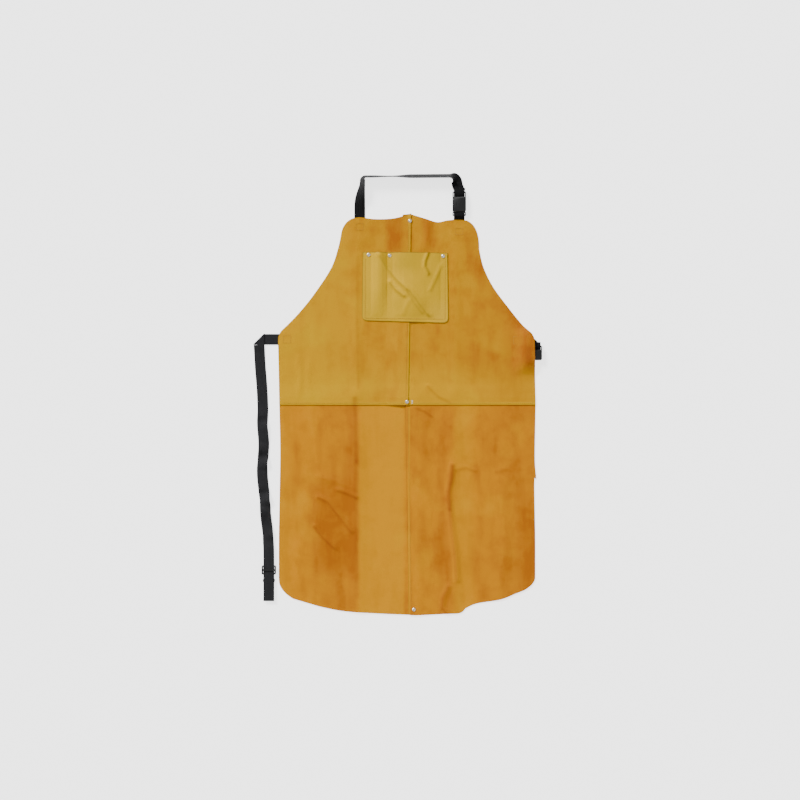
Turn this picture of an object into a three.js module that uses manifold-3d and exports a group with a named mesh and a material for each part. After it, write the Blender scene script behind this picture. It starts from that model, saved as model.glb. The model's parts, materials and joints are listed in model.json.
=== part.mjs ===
// Welding apron of split leather, lying flat with its front up. Millimetres, +Z up, +Y towards the neck,
// +X towards the right as seen from above. The origin is on the floor at the middle of the waist seam.
import * as THREE from "three";
import { mergeVertices } from "three/addons/utils/BufferGeometryUtils.js";
import Module from "manifold-3d";

const wasm = await Module();
wasm.setup();

// Materials' thicknesses and the gap that touching pieces keep.
const LEATHER = 1.5;
const WEB = 1.6;
const GAP = 0.3;
const LAYER = LEATHER + GAP;
const WEB_LAYER = WEB + GAP;
const THREAD = 0.7;
const THREAD_WIDTH = 1.2;

// Overall sizes of the leather.
const HALF_WIDTH = 295;
const SKIRT_LENGTH = 483;
const BIB_LENGTH = 428;
const CORNER_Y = 150;

// Seams.
const LEFT_SHOULDER = 152;
const RIGHT_SHOULDER = 165;
const SEAM_LAP = 20;
const WAIST_LAP = 15;
const FOLD_Y = -2;
const SEAM_INSET = 6;
const RAMP = 32;

// Webbing and where its ends are sewn behind the leather.
const WEB_WIDTH = 25;
const SEWN = 34;
const FOLD_CLEAR = WEB + GAP + 0.05;
const NECK_LEFT_X = -110;
const NECK_RIGHT_X = 119;
const NECK_FOLD_Y = BIB_LENGTH + 7.5;
const NECK_CROSS_Y = BIB_LENGTH + 97;
const TAB_ROOT_Y = BIB_LENGTH - 0.7;
const WAIST_LEFT_Y = 151;
const WAIST_RIGHT_Y = 149;
const LEFT_FOLD_X = -HALF_WIDTH - 6.5;
const RIGHT_FOLD_X = HALF_WIDTH - 18;
const STRAP_TURN_X = LEFT_FOLD_X - 40;
const STRAP_END_Y = -451;
const SLIDER_X = STRAP_TURN_X + 22.5;
const SLIDER_Y = -379.5;
const SLIDE_LEVEL = 5;

// Side-release buckles.
const SLOT_WIDTH = WEB_WIDTH + 1.6;
const BUCKLE_WIDTH = SLOT_WIDTH + 4.4;
const BUCKLE_HEIGHT = 13;
const MALE_HEIGHT = 5.4;
const MALE_LENGTH = 9.3;
const BAR = 3.5;
const BAR_HEIGHT = 3;
const CAVITY_WIDTH = BUCKLE_WIDTH - 5.8;
const CAVITY_HEIGHT = 7;
const ARM_LENGTH = 20;
const ARM_WIDTH = 3.6;
const ARM_HEIGHT = 4.4;
const BARB = 1.7;
const TONGUE_WIDTH = 4;
const NECK_FEMALE = { x: NECK_RIGHT_X, mouth: TAB_ROOT_Y + 17, body: 34, slot: 9.3 };
const WAIST_FEMALE = { x: HALF_WIDTH - 1.5, mouth: 103, body: 24, slot: 6.3 };

// Chest pocket and rivets.
const POCKET = { left: -103, right: 92, bottom: 192, top: 350 };
const POCKET_BELLY = 8;
const PEN_BELLY = 6;
const MAIN_ROOM = [-35, 76];
const PEN_ROOM = [-84, -47];
const RIVET = { cap: 4.3, rim: 0.5, post: 1.5, hole: 1.8, rise: 2, back: 4, backHeight: 0.6 };
const DOME_STEPS = 4;
const RIVETS = {
  top_seam: [5.5, BIB_LENGTH - 4],
  waist_seam: [-1.5, 7.5],
  pocket_left: [POCKET.left + 13.5, POCKET.top - 4.3],
  pocket_pen: [(PEN_ROOM[1] + MAIN_ROOM[0]) / 2, POCKET.top - 6],
  pocket_right: [POCKET.right - 10.3, POCKET.top - 7.5],
  hem: [14.5, -SKIRT_LENGTH + 12.4],
};

// ---- solids -------------------------------------------------------------------------------------

function solid(geometry) {
  geometry.deleteAttribute("normal");
  geometry.deleteAttribute("uv");
  const merged = mergeVertices(geometry, 1e-4);
  const corners = merged.index.array;
  const kept = [];
  for (let i = 0; i < corners.length; i += 3) {
    const [a, b, c] = corners.slice(i, i + 3);
    if (a !== b && b !== c && c !== a) kept.push(a, b, c);
  }
  return new wasm.Manifold(
    new wasm.Mesh({
      numProp: 3,
      vertProperties: new Float32Array(merged.attributes.position.array),
      triVerts: new Uint32Array(kept),
    }),
  );
}

function geometryOf(body) {
  const mesh = body.getMesh();
  const geometry = new THREE.BufferGeometry();
  geometry.setAttribute("position", new THREE.BufferAttribute(mesh.vertProperties, mesh.numProp));
  geometry.setIndex(new THREE.BufferAttribute(mesh.triVerts, 1));
  geometry.computeVertexNormals();
  return geometry;
}

function piece(name, body, colour, roughness = 0.9, metalness = 0) {
  const material = new THREE.MeshStandardMaterial({ color: colour, roughness, metalness });
  const mesh = new THREE.Mesh(geometryOf(body), material);
  mesh.name = name;
  return mesh;
}

function box(x0, x1, y0, y1, z0, z1) {
  const geometry = new THREE.BoxGeometry(x1 - x0, y1 - y0, z1 - z0);
  geometry.translate((x0 + x1) / 2, (y0 + y1) / 2, (z0 + z1) / 2);
  return solid(geometry);
}

function prism(shape, z0, z1, curveSegments = 12) {
  const geometry = new THREE.ExtrudeGeometry(shape, { depth: z1 - z0, bevelEnabled: false, curveSegments });
  geometry.translate(0, 0, z0);
  return solid(geometry);
}

function column([x, y], radius, z0, z1) {
  const geometry = new THREE.CylinderGeometry(radius, radius, z1 - z0, 20);
  geometry.rotateX(Math.PI / 2);
  geometry.translate(x, y, (z0 + z1) / 2);
  return solid(geometry);
}

function polygon(points) {
  return new THREE.Shape(points.map(([x, y]) => new THREE.Vector2(x, y)));
}

function roundedRectangle(x0, x1, y0, y1, r) {
  const shape = new THREE.Shape();
  shape.moveTo(x0 + r, y0);
  shape.lineTo(x1 - r, y0);
  shape.absarc(x1 - r, y0 + r, r, -Math.PI / 2, 0);
  shape.lineTo(x1, y1 - r);
  shape.absarc(x1 - r, y1 - r, r, 0, Math.PI / 2);
  shape.lineTo(x0 + r, y1);
  shape.absarc(x0 + r, y1 - r, r, Math.PI / 2, Math.PI);
  shape.lineTo(x0, y0 + r);
  shape.absarc(x0 + r, y0 + r, r, Math.PI, 1.5 * Math.PI);
  return shape;
}

// A sheet over a grid of lines, whose underside follows heightAt.
function sheet(xLines, yLines, heightAt, thickness) {
  const nx = xLines.length - 1;
  const ny = yLines.length - 1;
  const geometry = new THREE.BoxGeometry(1, 1, 1, nx, ny, 1);
  const place = geometry.attributes.position;
  for (let i = 0; i < place.count; i += 1) {
    const x = xLines[Math.round((place.getX(i) + 0.5) * nx)];
    const y = yLines[Math.round((place.getY(i) + 0.5) * ny)];
    place.setXYZ(i, x, y, heightAt(x, y) + (place.getZ(i) > 0 ? thickness : 0));
  }
  // The underside's squares are split along the same diagonal as the top's, so that stacked sheets nest.
  const under = geometry.groups[5];
  for (let i = under.start; i < under.start + under.count; i += 6) {
    const [a, b, d, , c] = geometry.index.array.slice(i, i + 6);
    geometry.index.array.set([a, b, c, a, c, d], i);
  }
  return solid(geometry);
}

// A band of webbing through a list of sections, each with its centre, the way across it and its normal.
function ribbon(sections) {
  const last = sections.length - 1;
  const geometry = new THREE.BoxGeometry(1, 1, 1, 1, last, 1);
  const place = geometry.attributes.position;
  for (let i = 0; i < place.count; i += 1) {
    const { centre, across, normal, width = WEB_WIDTH, thickness = WEB } =
      sections[Math.round((place.getY(i) + 0.5) * last)];
    const at = centre
      .clone()
      .addScaledVector(across, place.getX(i) * width)
      .addScaledVector(normal, place.getZ(i) * thickness);
    place.setXYZ(i, at.x, at.y, at.z);
  }
  return solid(geometry);
}

// Sections along a path, with the way across given at each point and turned square to the path.
function sectionsAlong(points, ways) {
  return points.map((centre, i) => {
    const before = points[Math.max(i - 1, 0)];
    const after = points[Math.min(i + 1, points.length - 1)];
    const along = after.clone().sub(before).normalize();
    const across = ways[i].clone().addScaledVector(along, -ways[i].dot(along)).normalize();
    return { centre, across, normal: across.clone().cross(along) };
  });
}

// The same sections with a half-round nose before the first one, which a fold turns on.
function withNose(sections) {
  const [first, second] = sections;
  const back = first.centre.clone().sub(second.centre).normalize();
  const nose = [80, 55, 30].map((degrees) => {
    const angle = THREE.MathUtils.degToRad(degrees);
    return {
      ...first,
      centre: first.centre.clone().addScaledVector(back, (WEB / 2) * Math.sin(angle)),
      thickness: WEB * Math.cos(angle),
    };
  });
  return [...nose, ...sections];
}

// ---- how high each sheet lies ---------------------------------------------------------------------

const clamp01 = (t) => Math.min(Math.max(t, 0), 1);
// 1 between start and end, and down to 0 over a ramp on either side.
const plateau = (t, start, end, ramp) =>
  Math.min(clamp01((t - start) / ramp + 1), clamp01((end - t) / ramp + 1));

const seamX = (y) => (y > FOLD_Y ? 2 + (6.5 * y) / BIB_LENGTH : -5 - (8 * y) / SKIRT_LENGTH);
const leftRise = (x) => plateau(x, -18, 2 * HALF_WIDTH, RAMP);
const rightRise = (x) => plateau(x, -2 * HALF_WIDTH, 24, RAMP);
const waistRise = (y) => plateau(y, -HALF_WIDTH, WAIST_LAP + 2, RAMP);

// What is sewn or laid behind the bib, with the height that it lifts the leather by.
const BESIDE = WEB_WIDTH / 2 + 1.5;
const BEHIND = [
  { x: [NECK_LEFT_X - BESIDE, NECK_LEFT_X + BESIDE], y: [BIB_LENGTH - 32, BIB_LENGTH + 72], rise: WEB_LAYER },
  {
    x: [NECK_RIGHT_X - BESIDE, NECK_RIGHT_X + BESIDE],
    y: [BIB_LENGTH - 42, BIB_LENGTH + 72],
    rise: WEB_LAYER,
  },
  {
    x: [-2 * HALF_WIDTH, -HALF_WIDTH + 37],
    y: [WAIST_LEFT_Y - BESIDE, WAIST_LEFT_Y + BESIDE],
    rise: WEB_LAYER,
  },
  {
    x: [HALF_WIDTH - 59, 2 * HALF_WIDTH],
    y: [WAIST_RIGHT_Y - BESIDE, WAIST_RIGHT_Y + BESIDE],
    rise: WEB_LAYER,
  },
  {
    x: [HALF_WIDTH - 19, 2 * HALF_WIDTH],
    y: [WAIST_FEMALE.mouth - 2, WAIST_RIGHT_Y + 15],
    rise: BUCKLE_HEIGHT + GAP,
  },
];
const base = (x, y) =>
  Math.max(0, ...BEHIND.map((b) => b.rise * plateau(x, ...b.x, RAMP) * plateau(y, ...b.y, RAMP)));

const skirtLeft = () => 0;
const skirtRight = (x) => LAYER * rightRise(x);
const bibRight = (x, y) => base(x, y) + LAYER * waistRise(y) * (1 + rightRise(x));
const bibLeft = (x, y) => base(x, y) + LAYER * waistRise(y) * (1 + leftRise(x)) + LAYER * leftRise(x);

// The pocket's front lies above whichever panel is higher and swells to take what it holds.
const pocketUnder = (x) => LAYER * Math.min(leftRise(x), plateau(x, -2 * HALF_WIDTH, 12, RAMP)) + LAYER;
const swell = (t, start, end) => Math.sin(Math.PI * clamp01((t - start) / (end - start))) ** 0.8;
const belly = (x, y) => {
  const open = Math.sin((Math.PI / 2) * clamp01((y - POCKET.bottom - 9) / 70));
  return open * (POCKET_BELLY * swell(x, ...MAIN_ROOM) + PEN_BELLY * swell(x, ...PEN_ROOM));
};
const pocketFront = (x, y) => pocketUnder(x) + belly(x, y);

// Grid lines from start to end at about a step, with extra lines where a slope begins or ends.
function lines(start, end, step, extra = []) {
  const count = Math.ceil((end - start) / step);
  const all = [...Array(count + 1).keys()].map((i) => start + ((end - start) * i) / count);
  const inner = extra.filter((v) => v > start + 0.5 && v < end - 0.5);
  const spaced = all.filter((v, i) => i === 0 || i === count || inner.every((e) => Math.abs(e - v) > 2));
  return [...new Set([...spaced, ...inner])].sort((a, b) => a - b);
}

const X_SLOPES = [
  -18 - RAMP, -18, 12, 24, 12 + RAMP, 24 + RAMP,
  ...BEHIND.flatMap((b) => [b.x[0] - RAMP, b.x[0], b.x[1], b.x[1] + RAMP]),
];
const Y_SLOPES = [
  WAIST_LAP + 2, WAIST_LAP + 2 + RAMP,
  ...BEHIND.flatMap((b) => [b.y[0] - RAMP, b.y[0], b.y[1], b.y[1] + RAMP]),
];
const BIB_X = lines(-HALF_WIDTH - 15, HALF_WIDTH + 15, 60, X_SLOPES);
const BIB_Y = lines(-6, BIB_LENGTH + 22, 60, Y_SLOPES);
const SKIRT_X = BIB_X;
const SKIRT_Y = lines(-SKIRT_LENGTH - 17, 30, 120, Y_SLOPES);

function panel(outline, under, thickness = LEATHER, xLines = BIB_X, yLines = BIB_Y) {
  return sheet(xLines, yLines, under, thickness).intersect(prism(outline, -5, 60, 10));
}

// Holes for the rivets' posts, and the dents that their backs press into the lowest leather.
function withHoles(body, names) {
  return names.reduce((left, name) => {
    const dent = column(RIVETS[name], RIVET.back + GAP, -1, RIVET.backHeight + GAP);
    return left.subtract(column(RIVETS[name], RIVET.hole, -5, 60)).subtract(dent);
  }, body);
}

// ---- outlines of the leather ----------------------------------------------------------------------

const vectors = (points) => points.map(([x, y]) => new THREE.Vector2(x, y));

// The armhole's points, each at a share of the way from the shoulder to the side's corner.
const armhole = (shoulder, corner, shares) =>
  vectors(shares.map(([along, down]) => [
    shoulder[0] + (corner[0] - shoulder[0]) * along,
    shoulder[1] + (corner[1] - shoulder[1]) * down,
  ]));

function bibLeftOutline() {
  const side = -HALF_WIDTH;
  const top = BIB_LENGTH;
  const peak = seamX(top + 12);
  const shape = new THREE.Shape();
  const shares = [[0.72, 0.774], [0.462, 0.593], [0.175, 0.343], [0.056, 0.153], [0, 0]];
  shape.moveTo(seamX(0), 0);
  shape.lineTo(side, 0);
  shape.lineTo(side - 3, CORNER_Y - 4);
  shape.quadraticCurveTo(side - 4, CORNER_Y + 10, side + 5, CORNER_Y + 21);
  shape.splineThru(armhole([-LEFT_SHOULDER, top - 30], [side, CORNER_Y], shares));
  shape.quadraticCurveTo(-LEFT_SHOULDER + 5, top - 8, -LEFT_SHOULDER + 24, top + 1);
  shape.splineThru(vectors([[NECK_LEFT_X, top + 4], [-75, top], [-30, top + 2], [peak, top + 13]]));
  return shape;
}

function bibRightOutline() {
  const side = HALF_WIDTH;
  const top = BIB_LENGTH;
  const peak = seamX(top + 12);
  const shape = new THREE.Shape();
  const shares = [[0.754, 0.827], [0.5, 0.63], [0.246, 0.413], [0.077, 0.197], [0, 0]];
  shape.moveTo(seamX(0) - SEAM_LAP, 0);
  shape.lineTo(side, 0);
  shape.lineTo(side - 3, CORNER_Y - 10);
  shape.quadraticCurveTo(side - 2, CORNER_Y + 5, side - 11, CORNER_Y + 16);
  shape.splineThru(armhole([RIGHT_SHOULDER, top - 70], [side, CORNER_Y], shares));
  shape.quadraticCurveTo(RIGHT_SHOULDER + 1, top - 16, RIGHT_SHOULDER - 27, top - 4);
  shape.splineThru(vectors([
    [NECK_RIGHT_X, top - 1], [92, top - 3], [68, top - 7], [38, top + 2], [peak - 3, top + 12],
  ]));
  shape.lineTo(peak - SEAM_LAP, top + 10);
  return shape;
}

function skirtLeftOutline() {
  const shape = new THREE.Shape();
  const top = FOLD_Y - GAP / 2;
  const side = -HALF_WIDTH;
  const hem = -SKIRT_LENGTH;
  shape.moveTo(seamX(top) + SEAM_LAP, top);
  shape.lineTo(side, top);
  shape.splineThru(vectors([[side + 2, -120], [side - 1, hem + 183], [side - 1, hem + 78]]));
  shape.quadraticCurveTo(side + 1, hem + 55, side + 32, hem + 37);
  shape.splineThru(vectors([
    [side + 69, hem + 26], [side + 102, hem + 17], [side + 151, hem + 8], [side + 225, hem + 3], [3, hem],
  ]));
  shape.lineTo(seamX(hem) + SEAM_LAP, hem);
  return shape;
}

function skirtRightOutline() {
  const shape = new THREE.Shape();
  const top = FOLD_Y - GAP / 2;
  const side = HALF_WIDTH;
  const hem = -SKIRT_LENGTH;
  shape.moveTo(seamX(top), top);
  shape.lineTo(side, top);
  shape.splineThru(vectors([
    [side - 2, -120], [side + 1, -168], [side - 3, -178], [side - 1, hem + 183], [side - 1, hem + 85],
  ]));
  shape.quadraticCurveTo(side - 3, hem + 69, side - 27, hem + 56);
  shape.splineThru(vectors([
    [side - 45, hem + 49], [side - 81, hem + 35], [side - 135, hem + 26], [side - 161, hem + 15],
  ]));
  shape.splineThru(vectors([
    [side - 174, hem + 4], [side - 207, hem + 2], [24, hem - 1], [seamX(hem), hem],
  ]));
  return shape;
}

function topStripOutline(left, right) {
  const low = FOLD_Y + GAP / 2;
  return polygon([[left, low], [right, low], [right, WAIST_LAP], [left, WAIST_LAP]]);
}

// ---- leather --------------------------------------------------------------------------------------

const TAN = 0xc8912f;

function leatherPieces() {
  const strip = (name, left, right, under) =>
    piece(name, withHoles(panel(topStripOutline(left, right), under), ["waist_seam"]), TAN);
  const skirt = (name, outline, under) =>
    piece(name, withHoles(panel(outline, under, LEATHER, SKIRT_X, SKIRT_Y), ["hem"]), TAN);
  const onBib = ["top_seam", "waist_seam", "pocket_left", "pocket_pen", "pocket_right"];
  return [
    piece("bib_left_panel", withHoles(panel(bibLeftOutline(), bibLeft), onBib), 0xcf9a34),
    piece("bib_right_panel", withHoles(panel(bibRightOutline(), bibRight), onBib), 0xbd8430),
    skirt("skirt_left_panel", skirtLeftOutline(), skirtLeft),
    skirt("skirt_right_panel", skirtRightOutline(), skirtRight),
    strip("skirt_left_top_strip", -HALF_WIDTH, seamX(FOLD_Y - 1) + SEAM_LAP, skirtLeft),
    strip("skirt_right_top_strip", seamX(FOLD_Y - 1), HALF_WIDTH, skirtRight),
    pocket(),
  ];
}

const POCKET_FOLDS = [...X_SLOPES, ...MAIN_ROOM, ...PEN_ROOM];
const POCKET_X = lines(POCKET.left - 4, POCKET.right + 4, 10, POCKET_FOLDS);
const POCKET_Y = lines(POCKET.bottom - 4, POCKET.top + 4, 16, Y_SLOPES);

function pocket() {
  const { left, right, bottom, top } = POCKET;
  const shape = new THREE.Shape();
  shape.moveTo(left + 14, bottom + 2);
  shape.lineTo(right - 12, bottom - 3);
  shape.quadraticCurveTo(right + 2, bottom - 3, right + 2, bottom + 9);
  shape.lineTo(right, top);
  shape.lineTo(left, top + 2);
  shape.lineTo(left - 2, bottom + 14);
  shape.quadraticCurveTo(left - 2, bottom + 2, left + 14, bottom + 2);
  const front = panel(shape, pocketFront, LEATHER, POCKET_X, POCKET_Y);
  return piece("chest_pocket", withHoles(front, ["pocket_left", "pocket_pen", "pocket_right"]), 0xcaa64b);
}

// ---- rivets ---------------------------------------------------------------------------------------

// The top face of the highest leather at each rivet.
const RIVET_SEATS = {
  top_seam: bibLeft,
  waist_seam: bibLeft,
  pocket_left: pocketFront,
  pocket_pen: pocketFront,
  pocket_right: pocketFront,
  hem: skirtRight,
};

function rivetCap(name) {
  const [x, y] = RIVETS[name];
  const seat = RIVET_SEATS[name](x, y) + LEATHER + GAP;
  const outline = vectors([[0, 0], [RIVET.cap, 0]]);
  for (let i = 0; i <= DOME_STEPS; i += 1) {
    const angle = (i / DOME_STEPS) * (Math.PI / 2);
    const radius = i === DOME_STEPS ? 0 : RIVET.cap * Math.cos(angle);
    outline.push(new THREE.Vector2(radius, RIVET.rim + (RIVET.rise - RIVET.rim) * Math.sin(angle)));
  }
  const dome = new THREE.LatheGeometry(outline, 18);
  dome.rotateX(Math.PI / 2);
  dome.translate(x, y, seat);
  const post = column([x, y], RIVET.post, RIVET.backHeight + 0.05, seat + 0.2);
  return piece(`rivet_cap_${name}`, solid(dome).add(post), 0xc9ccd0, 0.3, 1);
}

function rivetBase(name) {
  return piece(`rivet_back_${name}`, column(RIVETS[name], RIVET.back, 0, RIVET.backHeight), 0xb4b7bb, 0.4, 1);
}

function rivetPieces() {
  return Object.keys(RIVETS).flatMap((name) => [rivetCap(name), rivetBase(name)]);
}

// ---- sewing thread --------------------------------------------------------------------------------

const STRAW = 0xd9c48c;

// A run of stitching along a seam, lying on the leather.
function stitching(name, outline, top, xLines, yLines) {
  const over = (x, y) => top(x, y) + LEATHER + GAP;
  return piece(name, panel(outline, over, THREAD, xLines, yLines), STRAW);
}

function seamLine(bottom, topY, side) {
  const at = (y, shift) => [seamX(y) + side * SEAM_INSET + shift, y];
  const half = THREAD_WIDTH / 2;
  return polygon([at(bottom, -half), at(bottom, half), at(topY, half), at(topY, -half)]);
}

function rectangle(x0, x1, y0, y1) {
  return polygon([[x0, y0], [x1, y0], [x1, y1], [x0, y1]]);
}

function frameOutline(x0, x1, y0, y1) {
  const shape = rectangle(x0, x1, y0, y1);
  const w = THREAD_WIDTH;
  const inner = [[x0 + w, y0 + w], [x0 + w, y1 - w], [x1 - w, y1 - w], [x1 - w, y0 + w]];
  shape.holes.push(new THREE.Path(vectors(inner)));
  return shape;
}

function threadPieces() {
  const { left, right, bottom, top } = POCKET;
  const inset = 5;
  const head = top - 14;
  const outer = [left + inset, right - inset];
  const inner = [outer[0] + THREAD_WIDTH, outer[1] - THREAD_WIDTH];
  const foot = bottom + THREAD_WIDTH;
  const pocketLine = polygon([
    [outer[0], head], [outer[0], bottom + 7], [outer[1], bottom + 5], [outer[1], head],
    [inner[1], head], [inner[1], foot + 5], [inner[0], foot + 7], [inner[0], head],
  ]);
  const waistLine = (x0, x1) => rectangle(x0, x1, 4, 4 + THREAD_WIDTH);
  const sewn = (name, x0, x1, y0, y1, surface) =>
    stitching(name, frameOutline(x0, x1, y0, y1), surface, BIB_X, BIB_Y);
  const besideNeck = (name, x, y, surface) => sewn(name, x - 9, x + 9, y, y + 16, surface);
  const besideWaist = (name, x, y, surface) => sewn(name, x, x + 18, y - 9, y + 9, surface);
  return [
    stitching("bib_seam_thread_lower", seamLine(14, bottom - 6, -1), bibLeft, BIB_X, BIB_Y),
    stitching("bib_seam_thread_upper", seamLine(top + 6, BIB_LENGTH - 16, -1), bibLeft, BIB_X, BIB_Y),
    stitching("skirt_seam_thread", seamLine(-SKIRT_LENGTH + 24, FOLD_Y - 4, 1), skirtRight, SKIRT_X, SKIRT_Y),
    stitching("waist_seam_thread_left", waistLine(-HALF_WIDTH + 5, -8), bibLeft, BIB_X, BIB_Y),
    stitching("waist_seam_thread_right", waistLine(8, HALF_WIDTH - 5), bibRight, BIB_X, BIB_Y),
    stitching("pocket_seam_thread", pocketLine, pocketFront, POCKET_X, POCKET_Y),
    besideNeck("neck_left_box_stitch", NECK_LEFT_X, BIB_LENGTH - 26, bibLeft),
    besideNeck("neck_right_box_stitch", NECK_RIGHT_X, BIB_LENGTH - 37, bibRight),
    besideWaist("waist_left_box_stitch", -HALF_WIDTH + 9, WAIST_LEFT_Y, bibLeft),
    besideWaist("waist_right_box_stitch", HALF_WIDTH - 52, WAIST_RIGHT_Y, bibRight),
  ];
}

// ---- neck strap -----------------------------------------------------------------------------------

const BLACK = 0x1c1c1e;
const v = (x, y, z) => new THREE.Vector3(x, y, z);
const NECK_BAR_Z = BUCKLE_HEIGHT / 2;

// The way across the webbing when it is turned up from flat by an angle, leaning against a heading.
function tilted(sideways, degrees) {
  const angle = THREE.MathUtils.degToRad(degrees);
  return sideways.clone().multiplyScalar(Math.cos(angle)).addScaledVector(v(0, 0, 1), Math.sin(angle));
}

// The height of a band's middle when its lower edge touches the floor.
const standing = (degrees) => {
  const angle = THREE.MathUtils.degToRad(degrees);
  return (WEB_WIDTH / 2) * Math.sin(angle) + (WEB / 2) * Math.cos(angle);
};

// The strap leaves the left of the bib flat, stands up on its edge over the top, and comes down flat on the
// right, where it passes under the buckle's bar, round it and back over itself.
function neckStrap() {
  const points = [];
  const ways = [];
  const add = (x, y, turn, sideways, z = standing(turn)) => {
    points.push(v(x, y, z));
    ways.push(tilted(sideways, turn));
  };
  const flat = v(1, 0, 0);
  for (let i = 0; i <= 9; i += 1) {
    const t = i / 9;
    const turn = 82 * THREE.MathUtils.smoothstep(t, 0.35, 1);
    add(NECK_LEFT_X + 7 * t * t, NECK_FOLD_Y + t * (NECK_CROSS_Y - 11 - NECK_FOLD_Y), turn, flat);
  }
  const leftBend = v(NECK_LEFT_X + 18, NECK_CROSS_Y - 11, 0);
  for (let i = 1; i <= 5; i += 1) {
    const angle = Math.PI - (i / 5) * (Math.PI / 2);
    const inwards = v(-Math.cos(angle), -Math.sin(angle), 0);
    add(leftBend.x + 11 * Math.cos(angle), leftBend.y + 11 * Math.sin(angle), 82, inwards);
  }
  const crossStart = leftBend.x + 6;
  const crossEnd = NECK_RIGHT_X - 24;
  for (let i = 1; i <= 9; i += 1) {
    const t = i / 9;
    const turn = 82 - 10 * t;
    add(crossStart + t * (crossEnd - crossStart), NECK_CROSS_Y + 1.5 * t, turn, v(0, -1, 0));
  }
  const bend = 22;
  for (let i = 1; i <= 8; i += 1) {
    const t = i / 8;
    const angle = Math.PI / 2 - t * (Math.PI / 2);
    const x = NECK_RIGHT_X - bend + bend * Math.cos(angle);
    const y = NECK_CROSS_Y + 1.5 - bend + bend * Math.sin(angle);
    const turn = 72 * (1 - THREE.MathUtils.smoothstep(t, 0, 1));
    add(x, y, turn, v(-Math.cos(angle), -Math.sin(angle), 0), standing(turn) + 2 * t * t);
  }
  const barTop = NECK_FEMALE.mouth + NECK_FEMALE.body + NECK_FEMALE.slot + BAR;
  const loop = BAR_HEIGHT / 2 + GAP + WEB / 2 + 0.1;
  add(NECK_RIGHT_X, barTop + 4, 0, v(-1, 0, 0), NECK_BAR_Z - loop);
  add(NECK_RIGHT_X, barTop - BAR, 0, v(-1, 0, 0), NECK_BAR_Z - loop);
  for (const degrees of [-50, -20, 20, 50]) {
    const angle = THREE.MathUtils.degToRad(degrees);
    const y = barTop - BAR - loop * Math.cos(angle) * 0.8;
    add(NECK_RIGHT_X, y, 0, v(-1, 0, 0), NECK_BAR_Z + loop * Math.sin(angle));
  }
  add(NECK_RIGHT_X, barTop - BAR + 0.5, 0, v(-1, 0, 0), NECK_BAR_Z + loop);
  add(NECK_RIGHT_X, barTop + 2, 0, v(-1, 0, 0), NECK_BAR_Z + loop);
  add(NECK_RIGHT_X + 2, barTop + 10, 0, v(-1, 0, 0), NECK_BAR_Z + loop - 1.5);
  const sections = sectionsAlong(points, ways);
  return piece("neck_strap", ribbon(withNose(sections)), BLACK, 0.8);
}

// The ends of the webbing that are sewn flat behind the leather. Where the webbing folds, the end is rounded
// and stands back from the fold line, so that the strap turns past it.
function sewnEnds() {
  const half = WEB_WIDTH / 2;
  const nose = (x, y, across) => {
    const round = new THREE.CylinderGeometry(WEB / 2, WEB / 2, WEB_WIDTH, 12);
    if (across) round.rotateZ(Math.PI / 2);
    round.translate(x, y, WEB / 2);
    return solid(round);
  };
  const upright = (x, top, length) => box(x - half, x + half, top - length, top, 0, WEB);
  const level = (left, y) => box(left, left + SEWN, y - half, y + half, 0, WEB);
  const neckTop = NECK_FOLD_Y - FOLD_CLEAR;
  const strapLeft = LEFT_FOLD_X + FOLD_CLEAR;
  const tabRight = RIGHT_FOLD_X - FOLD_CLEAR;
  const neck = upright(NECK_LEFT_X, neckTop, SEWN).add(nose(NECK_LEFT_X, neckTop, true));
  const strap = level(strapLeft, WAIST_LEFT_Y).add(nose(strapLeft, WAIST_LEFT_Y, false));
  const tab = level(tabRight - SEWN, WAIST_RIGHT_Y).add(nose(tabRight, WAIST_RIGHT_Y, false));
  return [
    piece("neck_strap_sewn_end", neck, BLACK, 0.8),
    piece("neck_tab_sewn_end", upright(NECK_RIGHT_X, TAB_ROOT_Y - GAP, SEWN + 5), BLACK, 0.8),
    piece("waist_strap_sewn_end", strap, BLACK, 0.8),
    piece("waist_tab_sewn_end", tab, BLACK, 0.8),
  ];
}

// The short webbing loop that holds the male half on the bib: out along the floor, round the bar and back.
function neckTab() {
  const bar = NECK_FEMALE.mouth - GAP - MALE_LENGTH;
  const loop = BAR_HEIGHT / 2 + GAP + WEB / 2 + 0.1;
  const path = [
    [TAB_ROOT_Y, WEB / 2], [TAB_ROOT_Y + 2.7, WEB / 2], [TAB_ROOT_Y + 5.2, 2],
    [bar, NECK_BAR_Z - loop - 0.3], [bar + BAR + 0.5, NECK_BAR_Z - loop],
    [bar + BAR + 1.7, NECK_BAR_Z - 1.2], [bar + BAR + 1.7, NECK_BAR_Z + 1.2],
    [bar + BAR + 0.5, NECK_BAR_Z + loop],
    [bar, NECK_BAR_Z + loop],
    [TAB_ROOT_Y + 4.9, 6.2], [TAB_ROOT_Y + 2.7, 3.4], [TAB_ROOT_Y + 0.3, 4.4],
  ];
  const points = path.map(([y, z]) => v(NECK_RIGHT_X, y, z));
  return piece("neck_tab", ribbon(sectionsAlong(points, points.map(() => v(-1, 0, 0)))), BLACK, 0.8);
}

// ---- buckles ----------------------------------------------------------------------------------------

const PLASTIC = 0x17181a;

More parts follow.
